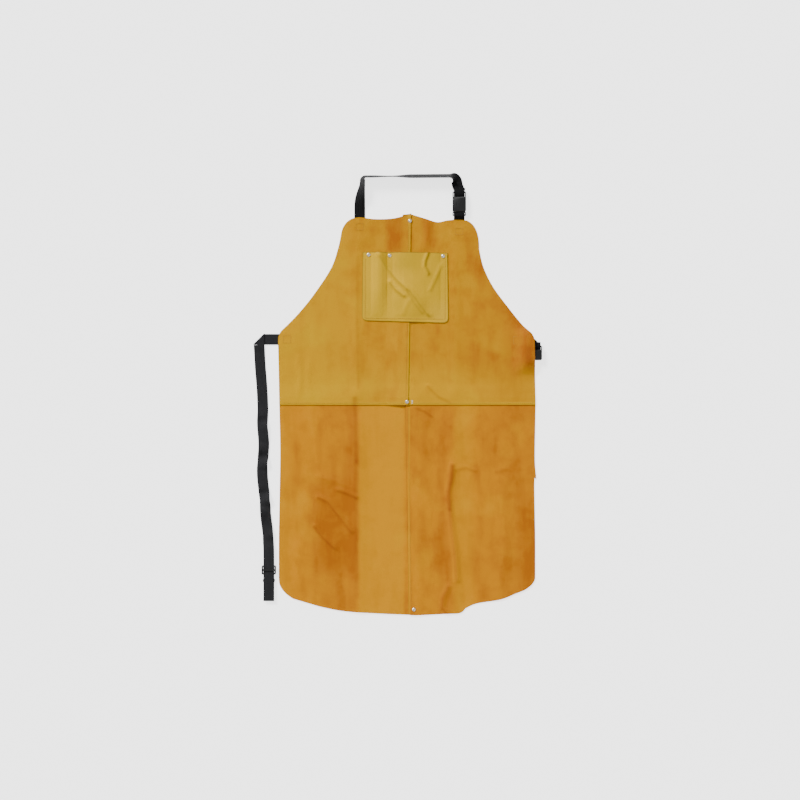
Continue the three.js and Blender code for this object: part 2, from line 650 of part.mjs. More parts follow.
// The female half, with its mouth at the lowest Y, lying on its broad face.
function femaleHalf(name, { x, mouth, body, slot }) {
  const half = BUCKLE_WIDTH / 2;
  const slotHalf = SLOT_WIDTH / 2;
  const end = mouth + body + slot + BAR;
  const middle = BUCKLE_HEIGHT / 2;
  const outline = roundedRectangle(x - half, x + half, mouth, end, 3.5);
  outline.holes.push(new THREE.Path(vectors([
    [x - slotHalf, mouth + body], [x - slotHalf, mouth + body + slot],
    [x + slotHalf, mouth + body + slot], [x + slotHalf, mouth + body],
  ])));
  const side = new THREE.Shape();
  side.moveTo(mouth, 1);
  side.quadraticCurveTo(mouth + 1, 0, mouth + 5, 0);
  side.lineTo(mouth + body - 4, 0);
  side.lineTo(end, middle - BAR_HEIGHT / 2 - 1);
  side.lineTo(end, middle + BAR_HEIGHT / 2 + 1);
  side.lineTo(mouth + body - 4, BUCKLE_HEIGHT);
  side.lineTo(mouth + 5, BUCKLE_HEIGHT);
  side.quadraticCurveTo(mouth + 1, BUCKLE_HEIGHT, mouth, BUCKLE_HEIGHT - 1);
  const profile = new THREE.ExtrudeGeometry(side, { depth: BUCKLE_WIDTH + 2, bevelEnabled: false });
  profile.rotateY(Math.PI / 2);
  profile.rotateX(Math.PI / 2);
  profile.translate(x - half - 1, 0, 0);
  const depth = Math.min(body - 2.5, ARM_LENGTH + 3.5);
  const about = (reach, tall, y0, y1) => box(x - reach, x + reach, y0, y1, middle - tall, middle + tall);
  const barTop = middle + BAR_HEIGHT / 2;
  const barY = mouth + body + slot - 0.1;
  const shell = prism(outline, 0, BUCKLE_HEIGHT, 6)
    .intersect(solid(profile))
    .subtract(about(CAVITY_WIDTH / 2, CAVITY_HEIGHT / 2, mouth - 1, mouth + depth))
    .subtract(about(half + 1, ARM_HEIGHT / 2 + 0.6, mouth + 9.4, mouth + ARM_LENGTH + 2.5))
    .subtract(box(x - slotHalf, x + slotHalf, barY, end + 1, barTop, BUCKLE_HEIGHT + 1))
    .subtract(box(x - slotHalf, x + slotHalf, barY, end + 1, -1, barTop - BAR_HEIGHT));
  return piece(name, shell, PLASTIC, 0.35);
}

// One spring arm of a male half, pivoting by its root, with its barb outwards. side is -1 or 1, and heading
// is the way that the arm points along Y.
function armShape(side, heading) {
  const out = CAVITY_WIDTH / 2 - 0.3;
  const inner = out - ARM_WIDTH;
  const at = (x, y) => [side * x, heading * y];
  return polygon([
    at(inner, 0.6), at(inner + 1.2, 0), at(out - 1, 0), at(out, 1), at(out, 9.8), at(out + BARB, 10.8),
    at(out + BARB, 15), at(out, 19), at(out - 1.4, ARM_LENGTH),
    at(inner + 0.4, ARM_LENGTH - 1), at(inner, 14),
  ]);
}

function arm(name, side, heading, x, root, z) {
  const body = prism(armShape(side, heading), z - ARM_HEIGHT / 2, z + ARM_HEIGHT / 2);
  return piece(name, body.translate([x, root, 0]), PLASTIC, 0.35);
}

function neckMale() {
  const half = BUCKLE_WIDTH / 2;
  const top = NECK_FEMALE.mouth - GAP;
  const bottom = top - MALE_LENGTH;
  const z = NECK_BAR_Z;
  const x = NECK_RIGHT_X;
  const slotHalf = SLOT_WIDTH / 2;
  const plate = roundedRectangle(x - half, x + half, bottom, top, 2);
  const slot = (y0, y1, z0, z1) => box(x - slotHalf, x + slotHalf, y0, y1, z0, z1);
  const base = prism(plate, z - MALE_HEIGHT / 2, z + MALE_HEIGHT / 2, 6)
    .subtract(slot(bottom + BAR, top - 2.3, -1, 2 * BUCKLE_HEIGHT))
    .subtract(slot(bottom - 1, bottom + BAR + 0.1, z + BAR_HEIGHT / 2, 2 * BUCKLE_HEIGHT))
    .subtract(slot(bottom - 1, bottom + BAR + 0.1, -1, z - BAR_HEIGHT / 2));
  const reach = TONGUE_WIDTH / 2;
  const tongue = box(x - reach, x + reach, top - 0.5, top + ARM_LENGTH, z - 1.6, z + 1.6);
  return [
    piece("neck_buckle_male", base.add(tongue), PLASTIC, 0.35),
    arm("neck_buckle_arm_left", -1, 1, x, top + GAP, z),
    arm("neck_buckle_arm_right", 1, 1, x, top + GAP, z),
  ];
}

// ---- waist strap ------------------------------------------------------------------------------------

const CHARCOAL = 0x37383b;

// The stub leaves the left edge flat and ends on the slanted line where the strap folds down.
function waistStub() {
  const half = WEB_WIDTH / 2;
  const top = WAIST_LEFT_Y + half;
  const low = WAIST_LEFT_Y - half;
  const flat = prism(polygon([
    [LEFT_FOLD_X, low], [LEFT_FOLD_X, top], [STRAP_TURN_X + half, top], [STRAP_TURN_X - half, low],
  ]), 0, WEB);
  const nose = new THREE.CylinderGeometry(WEB / 2, WEB / 2, WEB_WIDTH, 12);
  nose.translate(LEFT_FOLD_X, WAIST_LEFT_Y, WEB / 2);
  return piece("waist_strap_stub", flat.add(solid(nose)), CHARCOAL, 0.85);
}

// The strap runs down beside the skirt in slow waves, rising to the level at which it goes through
// the slider.
function waistStrap() {
  const half = WEB_WIDTH / 2;
  const top = WAIST_LEFT_Y + half;
  const low = WAIST_LEFT_Y - half;
  const side = new THREE.CatmullRomCurve3([
    v(STRAP_TURN_X, low, 0), v(STRAP_TURN_X + 2.5, 90, 0), v(STRAP_TURN_X + 7.5, 20, 0),
    v(STRAP_TURN_X + 10.5, -90, 0), v(STRAP_TURN_X + 9.5, -180, 0), v(STRAP_TURN_X + 16.5, -240, 0),
    v(SLIDER_X - 1.5, -310, 0), v(SLIDER_X, -345, 0), v(SLIDER_X, STRAP_END_Y, 0),
  ]);
  const height = (y) => {
    const down = 1 - THREE.MathUtils.smoothstep(low - y, 2, 18);
    const up = THREE.MathUtils.smoothstep(-y, 300, 335);
    return WEB / 2 + WEB_LAYER * down + SLIDE_LEVEL * up;
  };
  const points = side.getPoints(72).map((p) => v(p.x, p.y, height(p.y)));
  points.unshift(v(STRAP_TURN_X, top + 1, WEB_LAYER + WEB / 2));
  const sections = sectionsAlong(points, points.map(() => v(1, 0, 0)));
  const cut = prism(polygon([
    [STRAP_TURN_X - half - 30, low - 30], [STRAP_TURN_X - half - 30, low - 30.1],
    [STRAP_TURN_X + half + 30, top + 30], [STRAP_TURN_X - half - 30, top + 30],
  ]), -5, 30);
  return piece("waist_strap", ribbon(sections).subtract(cut), CHARCOAL, 0.85);
}

// The male half on the free end: webbing runs over two low bars and under a high one, so it slides along.
function waistMale() {
  const half = BUCKLE_WIDTH / 2 + 1;
  const slotHalf = SLOT_WIDTH / 2;
  const x = SLIDER_X;
  const y = SLIDER_Y;
  const reach = 10.5;
  const low = SLIDE_LEVEL - GAP;
  const high = SLIDE_LEVEL + WEB + GAP;
  const opening = (y0, y1, z0, z1) => box(x - slotHalf, x + slotHalf, y + y0, y + y1, z0, z1);
  const frame = prism(roundedRectangle(x - half, x + half, y - reach, y + reach, 3), 0, high + 2, 6)
    .subtract(opening(-reach - 1, reach + 1, low, high))
    .subtract(opening(-reach + BAR, reach - BAR, -1, low + 0.1))
    .subtract(opening(2, reach + 1, high - 0.1, high + 3))
    .subtract(opening(-reach - 1, -2, high - 0.1, high + 3));
  const tip = y - reach;
  const z = ARM_HEIGHT / 2;
  const wide = TONGUE_WIDTH / 2;
  const tongue = box(x - wide, x + wide, tip - ARM_LENGTH, tip + 0.5, z - 1.4, z + 1.4);
  return [
    piece("waist_buckle_male", frame.add(tongue), PLASTIC, 0.35),
    arm("waist_buckle_arm_left", -1, -1, x, tip - GAP, z),
    arm("waist_buckle_arm_right", 1, -1, x, tip - GAP, z),
  ];
}

// The short webbing tab at the right edge, folded down on a slant and looped round the female half's bar.
function waistTab() {
  const half = WEB_WIDTH / 2;
  const x = WAIST_FEMALE.x;
  const top = WAIST_RIGHT_Y + half;
  const low = WAIST_RIGHT_Y - half;
  const bar = WAIST_FEMALE.mouth + WAIST_FEMALE.body + WAIST_FEMALE.slot;
  const middle = BUCKLE_HEIGHT / 2;
  const loop = BAR_HEIGHT / 2 + GAP + WEB / 2 + 0.1;
  const level = WEB_LAYER + WEB / 2;
  const flat = prism(polygon([
    [RIGHT_FOLD_X, low], [x + half, low], [x - half, top], [RIGHT_FOLD_X, top],
  ]), 0, WEB);
  const nose = new THREE.CylinderGeometry(WEB / 2, WEB / 2, WEB_WIDTH, 12);
  nose.translate(RIGHT_FOLD_X, WAIST_RIGHT_Y, WEB / 2);
  const path = [
    [top + 1, level], [low + 10, level], [low + 3, level], [bar + BAR, middle - loop], [bar, middle - loop],
    [bar - 1.1, middle - 1.4], [bar - 1.2, middle + 1.2], [bar, middle + loop], [bar + BAR, middle + loop],
    [low + 8, middle + loop - 2.5],
  ];
  const points = path.map(([y, z]) => v(x, y, z));
  const upper = ribbon(sectionsAlong(points, points.map(() => v(1, 0, 0))));
  const beyond = prism(polygon([
    [x + half + 30, low - 30], [x + half + 31, top + 31], [x - half - 31, top + 31],
  ]), -5, 30);
  const bead = prism(polygon([
    [x + half - 1, low], [x + half, low], [x - half, top], [x - half - 1, top],
  ]), 0, WEB + WEB_LAYER);
  return piece("waist_tab", flat.add(solid(nose)).add(upper.subtract(beyond)).add(bead), BLACK, 0.8);
}

// ---- the whole apron --------------------------------------------------------------------------------

const apron = new THREE.Group();
apron.name = "welding_apron";
apron.add(
  ...leatherPieces(),
  ...rivetPieces(),
  ...threadPieces(),
  ...sewnEnds(),
  neckStrap(),
  neckTab(),
  femaleHalf("neck_buckle_female", NECK_FEMALE),
  ...neckMale(),
  waistStub(),
  waistStrap(),
  ...waistMale(),
  waistTab(),
  femaleHalf("waist_buckle_female", WAIST_FEMALE),
);

export default apron;
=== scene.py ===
"""Makes a split leather welding apron: leather, pocket, rivets, stitching, webbing straps and buckles."""

import json
import math

import bmesh
import bpy
from bpy.props import FloatProperty, FloatVectorProperty, PointerProperty
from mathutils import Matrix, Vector, noise
from mathutils.bvhtree import BVHTree
from mathutils.kdtree import KDTree


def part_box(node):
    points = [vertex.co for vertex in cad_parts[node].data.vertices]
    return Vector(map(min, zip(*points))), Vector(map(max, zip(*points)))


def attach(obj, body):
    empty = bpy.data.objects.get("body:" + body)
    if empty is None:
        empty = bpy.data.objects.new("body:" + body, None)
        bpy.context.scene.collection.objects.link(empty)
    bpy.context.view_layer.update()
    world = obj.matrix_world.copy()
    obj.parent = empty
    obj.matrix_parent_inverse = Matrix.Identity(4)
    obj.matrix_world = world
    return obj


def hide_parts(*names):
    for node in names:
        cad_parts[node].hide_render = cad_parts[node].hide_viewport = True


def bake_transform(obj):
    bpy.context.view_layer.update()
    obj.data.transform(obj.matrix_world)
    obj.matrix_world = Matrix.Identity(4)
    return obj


bl_info = {
    "name": "Welding apron",
    "version": (1, 0, 0),
    "blender": (4, 5, 0),
    "location": "3D View > Sidebar > Apron",
    "description": "Cuts, sews and straps a split leather welding apron",
    "category": "Object",
}

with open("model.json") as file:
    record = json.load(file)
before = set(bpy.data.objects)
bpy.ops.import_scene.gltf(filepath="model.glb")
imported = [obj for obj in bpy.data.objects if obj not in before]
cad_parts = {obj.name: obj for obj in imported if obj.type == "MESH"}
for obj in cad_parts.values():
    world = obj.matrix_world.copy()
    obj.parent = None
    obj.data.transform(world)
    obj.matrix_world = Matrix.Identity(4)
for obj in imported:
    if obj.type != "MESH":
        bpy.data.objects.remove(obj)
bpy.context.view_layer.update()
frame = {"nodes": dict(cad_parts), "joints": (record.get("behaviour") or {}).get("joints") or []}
MM = 0.001
LEATHER = 1.5 * MM
WEB = 1.6 * MM
HALF_WEB = 12.5 * MM


def corners(node):
    """The lowest and highest corner of a node, as vectors."""
    low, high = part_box(node)
    return Vector(low), Vector(high)


def joint_point(name):
    """The point that a joint turns about."""
    found = next(j for j in frame["joints"] if j["name"] == name)
    return Vector(found["pos_m"])


# ---- sizes and colours ------------------------------------------------------------------------------


class LeatherSettings(bpy.types.PropertyGroup):
    """Sizes and colours of the leather."""

    mesh_step: FloatProperty(
        name="Mesh step", description="Spacing of the leather's mesh",
        default=0.0032, min=0.002, max=0.02, subtype="DISTANCE", unit="LENGTH")
    pocket_step: FloatProperty(
        name="Pocket mesh step", description="Spacing of the pocket's mesh",
        default=0.0025, min=0.001, max=0.01, subtype="DISTANCE", unit="LENGTH")
    wrinkle: FloatProperty(
        name="Wrinkles", description="Height of the wrinkles, as a share of the worn apron's",
        default=1.0, min=0.0, max=2.0, subtype="FACTOR")
    bib_colour: FloatVectorProperty(
        name="Bib", description="Colour of the bib's suede",
        default=(0.66, 0.305, 0.0), size=3, min=0, max=1, subtype="COLOR")
    skirt_colour: FloatVectorProperty(
        name="Skirt", description="Colour of the skirt's suede",
        default=(0.70, 0.268, 0.0), size=3, min=0, max=1, subtype="COLOR")
    # brown also colours the painted shade beside the folds and by the waist socket, along with the suede's
    # own browner tone.
    brown: FloatVectorProperty(
        name="Brown", description="Colour where the suede's nap lies dark",
        default=(0.44, 0.125, 0.004), size=3, min=0, max=1, subtype="COLOR")
    pocket_colour: FloatVectorProperty(
        name="Pocket", description="Colour of the pocket's smoother leather",
        default=(0.71, 0.42, 0.004), size=3, min=0, max=1, subtype="COLOR")
    edge_colour: FloatVectorProperty(
        name="Cut edge", description="Colour of the cut edges",
        default=(0.17, 0.10, 0.02), size=3, min=0, max=1, subtype="COLOR")


class SewingSettings(bpy.types.PropertyGroup):
    """Sizes and colours of the stitching and rivets."""

    stitch: FloatProperty(
        name="Stitch", description="Length of a stitch",
        default=0.0034, min=0.001, max=0.01, subtype="DISTANCE", unit="LENGTH")
    gap: FloatProperty(
        name="Stitch gap", description="Space between stitches",
        default=0.0012, min=0.0002, max=0.005, subtype="DISTANCE", unit="LENGTH")
    thread: FloatProperty(
        name="Thread", description="Thickness of the thread",
        default=0.0009, min=0.0003, max=0.002, subtype="DISTANCE", unit="LENGTH")
    thread_colour: FloatVectorProperty(
        name="Thread colour", description="Colour of the thread",
        default=(0.62, 0.30, 0.02), size=3, min=0, max=1, subtype="COLOR")
    # The bar tack's near-white colour is a painted highlight on the thread.
    tack_highlight_colour: FloatVectorProperty(
        name="Bar tack", description="Colour of the bar tack's thread",
        default=(1.0, 0.88, 0.62), size=3, min=0, max=1, subtype="COLOR")
    rivet_colour: FloatVectorProperty(
        name="Rivets", description="Colour of the nickel rivets",
        default=(0.95, 0.91, 0.80), size=3, min=0, max=1, subtype="COLOR")


class StrapSettings(bpy.types.PropertyGroup):
    """Sizes and colours of the webbing and buckles."""

    rib: FloatProperty(
        name="Rib", description="Width of one rib of the weave",
        default=0.0013, min=0.0005, max=0.004, subtype="DISTANCE", unit="LENGTH")
    black: FloatVectorProperty(
        name="Black webbing", description="Colour of the neck strap",
        default=(0.0035, 0.0035, 0.004), size=3, min=0, max=1, subtype="COLOR")
    charcoal: FloatVectorProperty(
        name="Charcoal webbing", description="Colour of the waist strap",
        default=(0.017, 0.017, 0.0185), size=3, min=0, max=1, subtype="COLOR")
    plastic: FloatVectorProperty(
        name="Plastic", description="Colour of the buckles",
        default=(0.004, 0.004, 0.0045), size=3, min=0, max=1, subtype="COLOR")
    edge_round: FloatProperty(
        name="Edge round", description="Rounding of the moulded edges",
        default=0.00035, min=0.00005, max=0.001, subtype="DISTANCE", unit="LENGTH")


# ---- shader maths -----------------------------------------------------------------------------------


class Value:
    """A number that changes over a surface. Expressions on it add Math nodes."""

    def __init__(self, maker, socket):
        self.maker = maker
        self.socket = socket

    def _math(self, operation, *inputs):
        """Adds one Math node."""
        return self.maker.node("ShaderNodeMath", {"operation": operation}, dict(enumerate(inputs)))

    def __add__(self, other):
        return self._math("ADD", self, other)

    def __radd__(self, other):
        return self._math("ADD", other, self)

    def __sub__(self, other):
        return self._math("SUBTRACT", self, other)

    def __rsub__(self, other):
        return self._math("SUBTRACT", other, self)

    def __mul__(self, other):
        return self._math("MULTIPLY", self, other)

    def __rmul__(self, other):
        return self._math("MULTIPLY", other, self)

    def __truediv__(self, other):
        return self._math("DIVIDE", self, other)

    def __neg__(self):
        return self._math("MULTIPLY", self, -1.0)

    def sine(self):
        """The sine of the value in radians."""
        return self._math("SINE", self)

    def size(self):
        """The value without its sign."""
        return self._math("ABSOLUTE", self)

    def least(self, other):
        """The smaller of the two."""
        return self._math("MINIMUM", self, other)

    def most(self, other):
        """The larger of the two."""
        return self._math("MAXIMUM", self, other)

    def ramp(self, low, high):
        """0 at low, 1 at high, and smooth between them. Low may be the larger."""
        flip = low > high
        if flip:
            low, high = high, low
        inputs = {"Value": self, "From Min": low, "From Max": high}
        made = self.maker.node("ShaderNodeMapRange", {"interpolation_type": "SMOOTHSTEP"}, inputs)
        return 1 - made if flip else made

    def band(self, start, end, soft):
        """1 between start and end, and 0 outside, with soft sides."""
        return self.ramp(start - soft, start + soft) * self.ramp(end + soft, end - soft)


class Finish:
    """A material being made, node by node."""

    def __init__(self, name):
        self.material = bpy.data.materials.new(name)
        self.material.use_nodes = True
        self.tree = self.material.node_tree
        self.tree.nodes.clear()
        surface = self.node("ShaderNodeBsdfPrincipled")
        self.shader = surface.socket.node
        self.node("ShaderNodeOutputMaterial", None, {"Surface": surface})

    def set(self, socket, value):
        """Links a socket to a changing value, or gives it a fixed one."""
        if isinstance(value, Value):
            self.tree.links.new(value.socket, socket)
        elif hasattr(value, "__len__") and len(value) == 3 and len(socket.default_value) == 4:
            socket.default_value = (*value, 1)
        else:
            socket.default_value = value

    def node(self, kind, settings=None, inputs=None, output=0):
        """Adds a node: its settings first, then the values or links of its sockets."""
        made = self.tree.nodes.new(kind)
        for name, value in (settings or {}).items():
            setattr(made, name, value)
        for name, value in (inputs or {}).items():
            self.set(made.inputs[name], value)
        return Value(self, made.outputs[output]) if made.outputs else None

    def parts(self, where):
        """The three parts of a vector."""
        first = self.node("ShaderNodeSeparateXYZ", None, {0: where})
        return [Value(self, part) for part in first.socket.node.outputs]

    def place(self):
        """The position on the piece as modelled, and its three parts in millimetres."""
        where = self.node("ShaderNodeTexCoord", output="Object")
        return where, [part * 1000 for part in self.parts(where)]

    def along(self):
        """The distances across and along the webbing, in metres."""
        return self.parts(self.node("ShaderNodeUVMap", {"uv_map": "Weave"}))[:2]

    def noise(self, where, scale, detail=3.0, roughness=0.55):
        """Cloudy values between 0 and 1."""
        inputs = {"Vector": where, "Scale": scale, "Detail": detail, "Roughness": roughness}
        return self.node("ShaderNodeTexNoise", None, inputs)

    def mix(self, share, first, second):
        """From the first colour to the second."""
        share_at, first_at, second_at, colour_out = 0, 6, 7, 2
        inputs = {share_at: share, first_at: first, second_at: second}
        return self.node("ShaderNodeMix", {"data_type": "RGBA"}, inputs, output=colour_out)

    def finish(self, colour, roughness, height, depth, **constants):
        """Connects what changes over the surface, and sets the shader's constants."""
        self.set(self.shader.inputs["Base Color"], colour)
        self.set(self.shader.inputs["Roughness"], roughness)
        inputs = {"Height": height, "Distance": depth, "Strength": 1.0}
        self.set(self.shader.inputs["Normal"], self.node("ShaderNodeBump", None, inputs))
        for name, value in constants.items():
            self.set(self.shader.inputs[name.replace("_", " ")], value)
        return self.material


FINISHES = {}


def finish_named(name):
    """A finish, made once."""
    if name not in FINISHES:
        FINISHES[name] = MAKERS[name]()
    return FINISHES[name]


def suede(name, base, features):
    """Split leather: a short nap that lies light and dark in cloudy patches, with a darker cut edge, painted
    shade beside and along the folds, and painted highlights along the folds and lap edges.
    """
    settings = bpy.context.scene.apron_leather
    make = Finish(name)
    where, (x, y, _) = make.place()
    clouds = make.noise(where, 7.0, 5.0, 0.6).ramp(0.36, 0.66)
    patches = make.noise(where, 24.0, 4.0, 0.6).ramp(0.42, 0.7)
    nap = make.noise(where, 420.0, 4.0, 0.7)
    stretched = make.node("ShaderNodeMapping", None, {"Vector": where, "Scale": (1.0, 0.22, 1.0)})
    streaks = make.noise(stretched, 34.0, 4.0, 0.55).ramp(0.44, 0.68)
    fibre = make.noise(where, 1500.0, 2.0, 0.6)
    # The features give painted shade beside the folds together with the suede's own browner tone, and painted
    # highlights together with its paler tone.
    shade_and_stain, lit = features(x, y)
    dark = (clouds * 0.26 + patches * 0.3 + streaks * 0.3 + shade_and_stain).most(0).least(1)
    light = tuple(min(1.0, c * f) for c, f in zip(base, (1.04, 1.24, 1.0)))
    colour = make.mix(dark, base, tuple(settings.brown))
    # Paler cloudy patches of the suede's own tone, plus the painted highlights from the features.
    pale_and_highlight = (make.noise(where, 11.0, 3.0, 0.5).ramp(0.5, 0.72) * 0.5 * (1 - dark) + lit).most(0).least(1)
    colour = make.mix(pale_and_highlight, colour, light)
    colour = make.mix(nap.ramp(0.35, 0.75) * 0.22, colour, tuple(c * 0.55 for c in base))
    # Painted shade along the folds, from the crease attribute, darkening towards a deep brown.
    crease_shade = make.node("ShaderNodeAttribute", {"attribute_name": "crease_shade"}, output="Fac")
    crease_shade = (crease_shade * (clouds * 0.3 + nap * 0.3 + 0.7)).most(0).least(1)
    colour = make.mix(crease_shade, colour, (0.30, 0.072, 0.008))
    edge = make.node("ShaderNodeAttribute", {"attribute_name": "edge_distance"}, output="Fac")
    colour = make.mix(edge.ramp(1.3, 0.3) * 0.55, colour, tuple(settings.edge_colour))
    roughness = nap * 0.12 + 0.8
    height = nap * 0.7 + fibre * 0.3 + clouds * 0.4
    return make.finish(
        colour, roughness, height, 0.0005, Specular_IOR_Level=0.06, Sheen_Weight=0.02, Sheen_Roughness=0.6)


def bib_suede():
    """The bib: yellower to the left and browner to the right, with painted shade along the soft folds at the
    top beside the seam and at the corner by the waist socket, and painted highlights along the lap edges.
    """
    def features(x, y):
        # right: browner towards the right, and painted shade beside the swelling over the waist socket.
        right = x.ramp(60, 230) * 0.34 + x.ramp(200, 290) * y.band(60, 210, 50) * 0.3
        # seam and beside: painted shade along soft folds at the top of the bib.
        seam = x.band(-46, -8, 12) * y.ramp(335, 370) * 0.6
        beside = x.band(38, 64, 12) * y.ramp(345, 375) * 0.34
        under = x.band(-75, -5, 20) * y.band(4, 40, 12) * 0.3
        low = y.ramp(110, 20) * -0.25
        left = x.ramp(-70, -200) * -0.2
        # rim: painted highlights along the lap edges at the waist and the middle seam; yellow is the suede's
        # own yellower tone.
        rim = y.band(1.5, 6.5, 1.5) * 0.7 + x.band(1.5, 6.5, 1.2) * 0.6
        yellow = x.ramp(-60, -220) * 0.35 + y.ramp(120, 30) * 0.3
        return right + seam + beside + under + low + left, rim + yellow
    return suede("bib_suede", tuple(bpy.context.scene.apron_leather.bib_colour), features)


def skirt_suede():
    """The skirt: painted shade left of each of its two folds and painted light right of them, a painted
    highlight along the middle seam's lap edge, a brown patch, and browner at the far right.
    """
    def features(x, y):
        # left and fold: painted shade left of the fold near x -114; bright, below, is painted light right of
        # it.
        left = x.band(-205, -122, 26) * 0.2
        fold = x.band(-136, -116, 6) * 0.3
        patch = x.band(-222, -118, 16) * y.band(-385, -175, 30) * 0.4
        bright = x.band(-108, -8, 5) * -0.14
        # middle: painted shade left of the fold near x 107.
        middle = x.band(60, 100, 16) * 0.2 + x.band(72, 100, 8) * y.ramp(-240, -300) * 0.25
        right = x.ramp(150, 290) * 0.3 + x.ramp(235, 285) * y.band(-400, -255, 50) * 0.4
        # lit: painted light right of the two folds, and a painted highlight along the middle seam's lap edge.
        lit = x.band(-110, -8, 5) * 0.45 + x.band(108, 150, 12) * 0.3 + x.band(1.5, 6, 1.2) * 0.6
        edge = x.ramp(-255, -290) * 0.4
        return left + fold + patch + bright + middle + right, lit + edge
    return suede("skirt_suede", tuple(bpy.context.scene.apron_leather.skirt_colour), features)


def pocket_hide():
    """The pocket: smoother, paler leather with fine pores, a soft shine, and painted shade along its folds.
    """
    settings = bpy.context.scene.apron_leather
    base = tuple(settings.pocket_colour)
    make = Finish("pocket_hide")
    where, (x, y, _) = make.place()
    clouds = make.noise(where, 15.0, 4.0, 0.55).ramp(0.35, 0.68)
    pores = make.node("ShaderNodeTexVoronoi", {"feature": "SMOOTH_F1"}, {"Vector": where, "Scale": 900.0})
    grain = make.noise(where, 300.0, 3.0, 0.6)
    olive = (x.ramp(-60, -10) * x.ramp(60, 0) * y.ramp(290, 330) * 0.5 + clouds * 0.45).least(1)
    pale = x.ramp(20, 85) * y.ramp(260, 215) * 0.5
    colour = make.mix(olive, base, (base[0] * 0.78, base[1] * 0.80, base[2] * 0.5))
    colour = make.mix(pale, colour, (base[0] * 1.08, base[1] * 1.1, min(1, base[2] * 6)))
    colour = make.mix(grain.ramp(0.4, 0.8) * 0.18, colour, tuple(c * 0.6 for c in base))
    # Painted shade along the pocket's folds, from the crease attribute.
    crease_shade = make.node("ShaderNodeAttribute", {"attribute_name": "crease_shade"}, output="Fac")
    colour = make.mix((crease_shade * 1.2).least(1), colour, tuple(c * 0.42 for c in base))
    edge = make.node("ShaderNodeAttribute", {"attribute_name": "edge_distance"}, output="Fac")
    colour = make.mix(edge.ramp(2.2, 0.4) * 0.6, colour, tuple(settings.edge_colour))
    height = pores * 0.5 + grain * 0.6 + clouds * 0.5
    return make.finish(colour, grain * 0.18 + 0.5, height, 0.00025, Specular_IOR_Level=0.16)


def webbing(name, colour, shine):
    """Woven webbing: ribs along it, crossed by the weft, with a firmer edge."""
    rib = bpy.context.scene.apron_straps.rib
    make = Finish(name)
    where, _ = make.place()
    across, along = make.along()
    ribs = (across * (2 * math.pi / rib)).sine()
    weft = (along * (2 * math.pi / (rib * 0.9)) + ribs * 1.4).sine()
    fuzz = make.noise(where, 900.0, 3.0, 0.65)
    wear = make.noise(where, 30.0, 3.0, 0.55).ramp(0.4, 0.7)
    weave = ribs * 0.3 + weft * 0.2 + 0.5
    light = tuple(min(1, c * 2.1 + 0.0015) for c in colour)
    shade = make.mix((weave * 0.6 + fuzz * 0.25).least(1).most(0), tuple(c * 0.55 for c in colour), light)
    shade = make.mix(wear * 0.3, shade, tuple(c * 1.5 for c in colour))
    edge = (across.size() / HALF_WEB).ramp(0.86, 0.97) * 0.45
    shade = make.mix(edge, shade, tuple(c * 0.5 for c in colour))
    return make.finish(shade, fuzz * 0.2 + shine, weave + fuzz * 0.3, 0.0003, Specular_IOR_Level=0.12)


def black_web():
    """The neck strap and waist tab."""
    return webbing("black_web", tuple(bpy.context.scene.apron_straps.black), 0.55)


def charcoal_web():
    """The waist strap."""
    return webbing("charcoal_web", tuple(bpy.context.scene.apron_straps.charcoal), 0.6)


def buckle_plastic():
    """Moulded acetal: fine spark texture, rubbed smoother in patches."""
    colour = tuple(bpy.context.scene.apron_straps.plastic)
    make = Finish("buckle_plastic")
    where, _ = make.place()
    spark = make.noise(where, 1800.0, 2.0, 0.6)
    rubbed = make.noise(where, 120.0, 3.0, 0.6).ramp(0.45, 0.7)
    shade = make.mix(rubbed * 0.5 + spark * 0.2, colour, tuple(c * 2.4 for c in colour))
    return make.finish(shade, 0.42 - rubbed * 0.16 + spark * 0.06, spark, 0.00006, Specular_IOR_Level=0.45)


def rivet_nickel():
    """Bright nickel plate with fine scratches and a little tarnish."""
    colour = tuple(bpy.context.scene.apron_sewing.rivet_colour)
    make = Finish("rivet_nickel")
    where, _ = make.place()
    scratch = make.noise(where, 2600.0, 2.0, 0.7)
    tarnish = make.noise(where, 500.0, 3.0, 0.6).ramp(0.45, 0.75)
    shade = make.mix(tarnish * 0.4, colour, (0.60, 0.53, 0.40))
    return make.finish(shade, tarnish * 0.15 + scratch * 0.1 + 0.22, scratch, 0.00003, Metallic=1.0)


def thread(name, colour):
    """Waxed thread with a twist."""
    make = Finish(name)
    where, (x, y, _) = make.place()
    twist = ((x + y) * 9.0).sine() * 0.5 + 0.5
    fuzz = make.noise(where, 1600.0, 2.0, 0.6)
    shade = make.mix(twist * 0.4 + fuzz * 0.25, colour, tuple(c * 0.5 for c in colour))
    return make.finish(shade, fuzz * 0.2 + 0.6, twist + fuzz, 0.0001)


def thread_cotton():
    """The seams' thread."""
    return thread("thread_cotton", tuple(bpy.context.scene.apron_sewing.thread_colour))


def highlit_tack_cotton():
    """The bar tack's thread, given a near-white colour that is a painted highlight."""
    return thread("highlit_tack_cotton", tuple(bpy.context.scene.apron_sewing.tack_highlight_colour))


MAKERS = {
    "bib_suede": bib_suede,
    "skirt_suede": skirt_suede,
    "pocket_hide": pocket_hide,
    "black_web": black_web,
    "charcoal_web": charcoal_web,
    "buckle_plastic": buckle_plastic,
    "rivet_nickel": rivet_nickel,
    "thread_cotton": thread_cotton,
    "highlit_tack_cotton": highlit_tack_cotton,
}

# ---- how the leather lies ---------------------------------------------------------------------------


def smooth(value, low, high):
    """0 at low, 1 at high, and smooth between them."""
    t = min(max((value - low) / (high - low), 0.0), 1.0)
    return t * t * (3 - 2 * t)


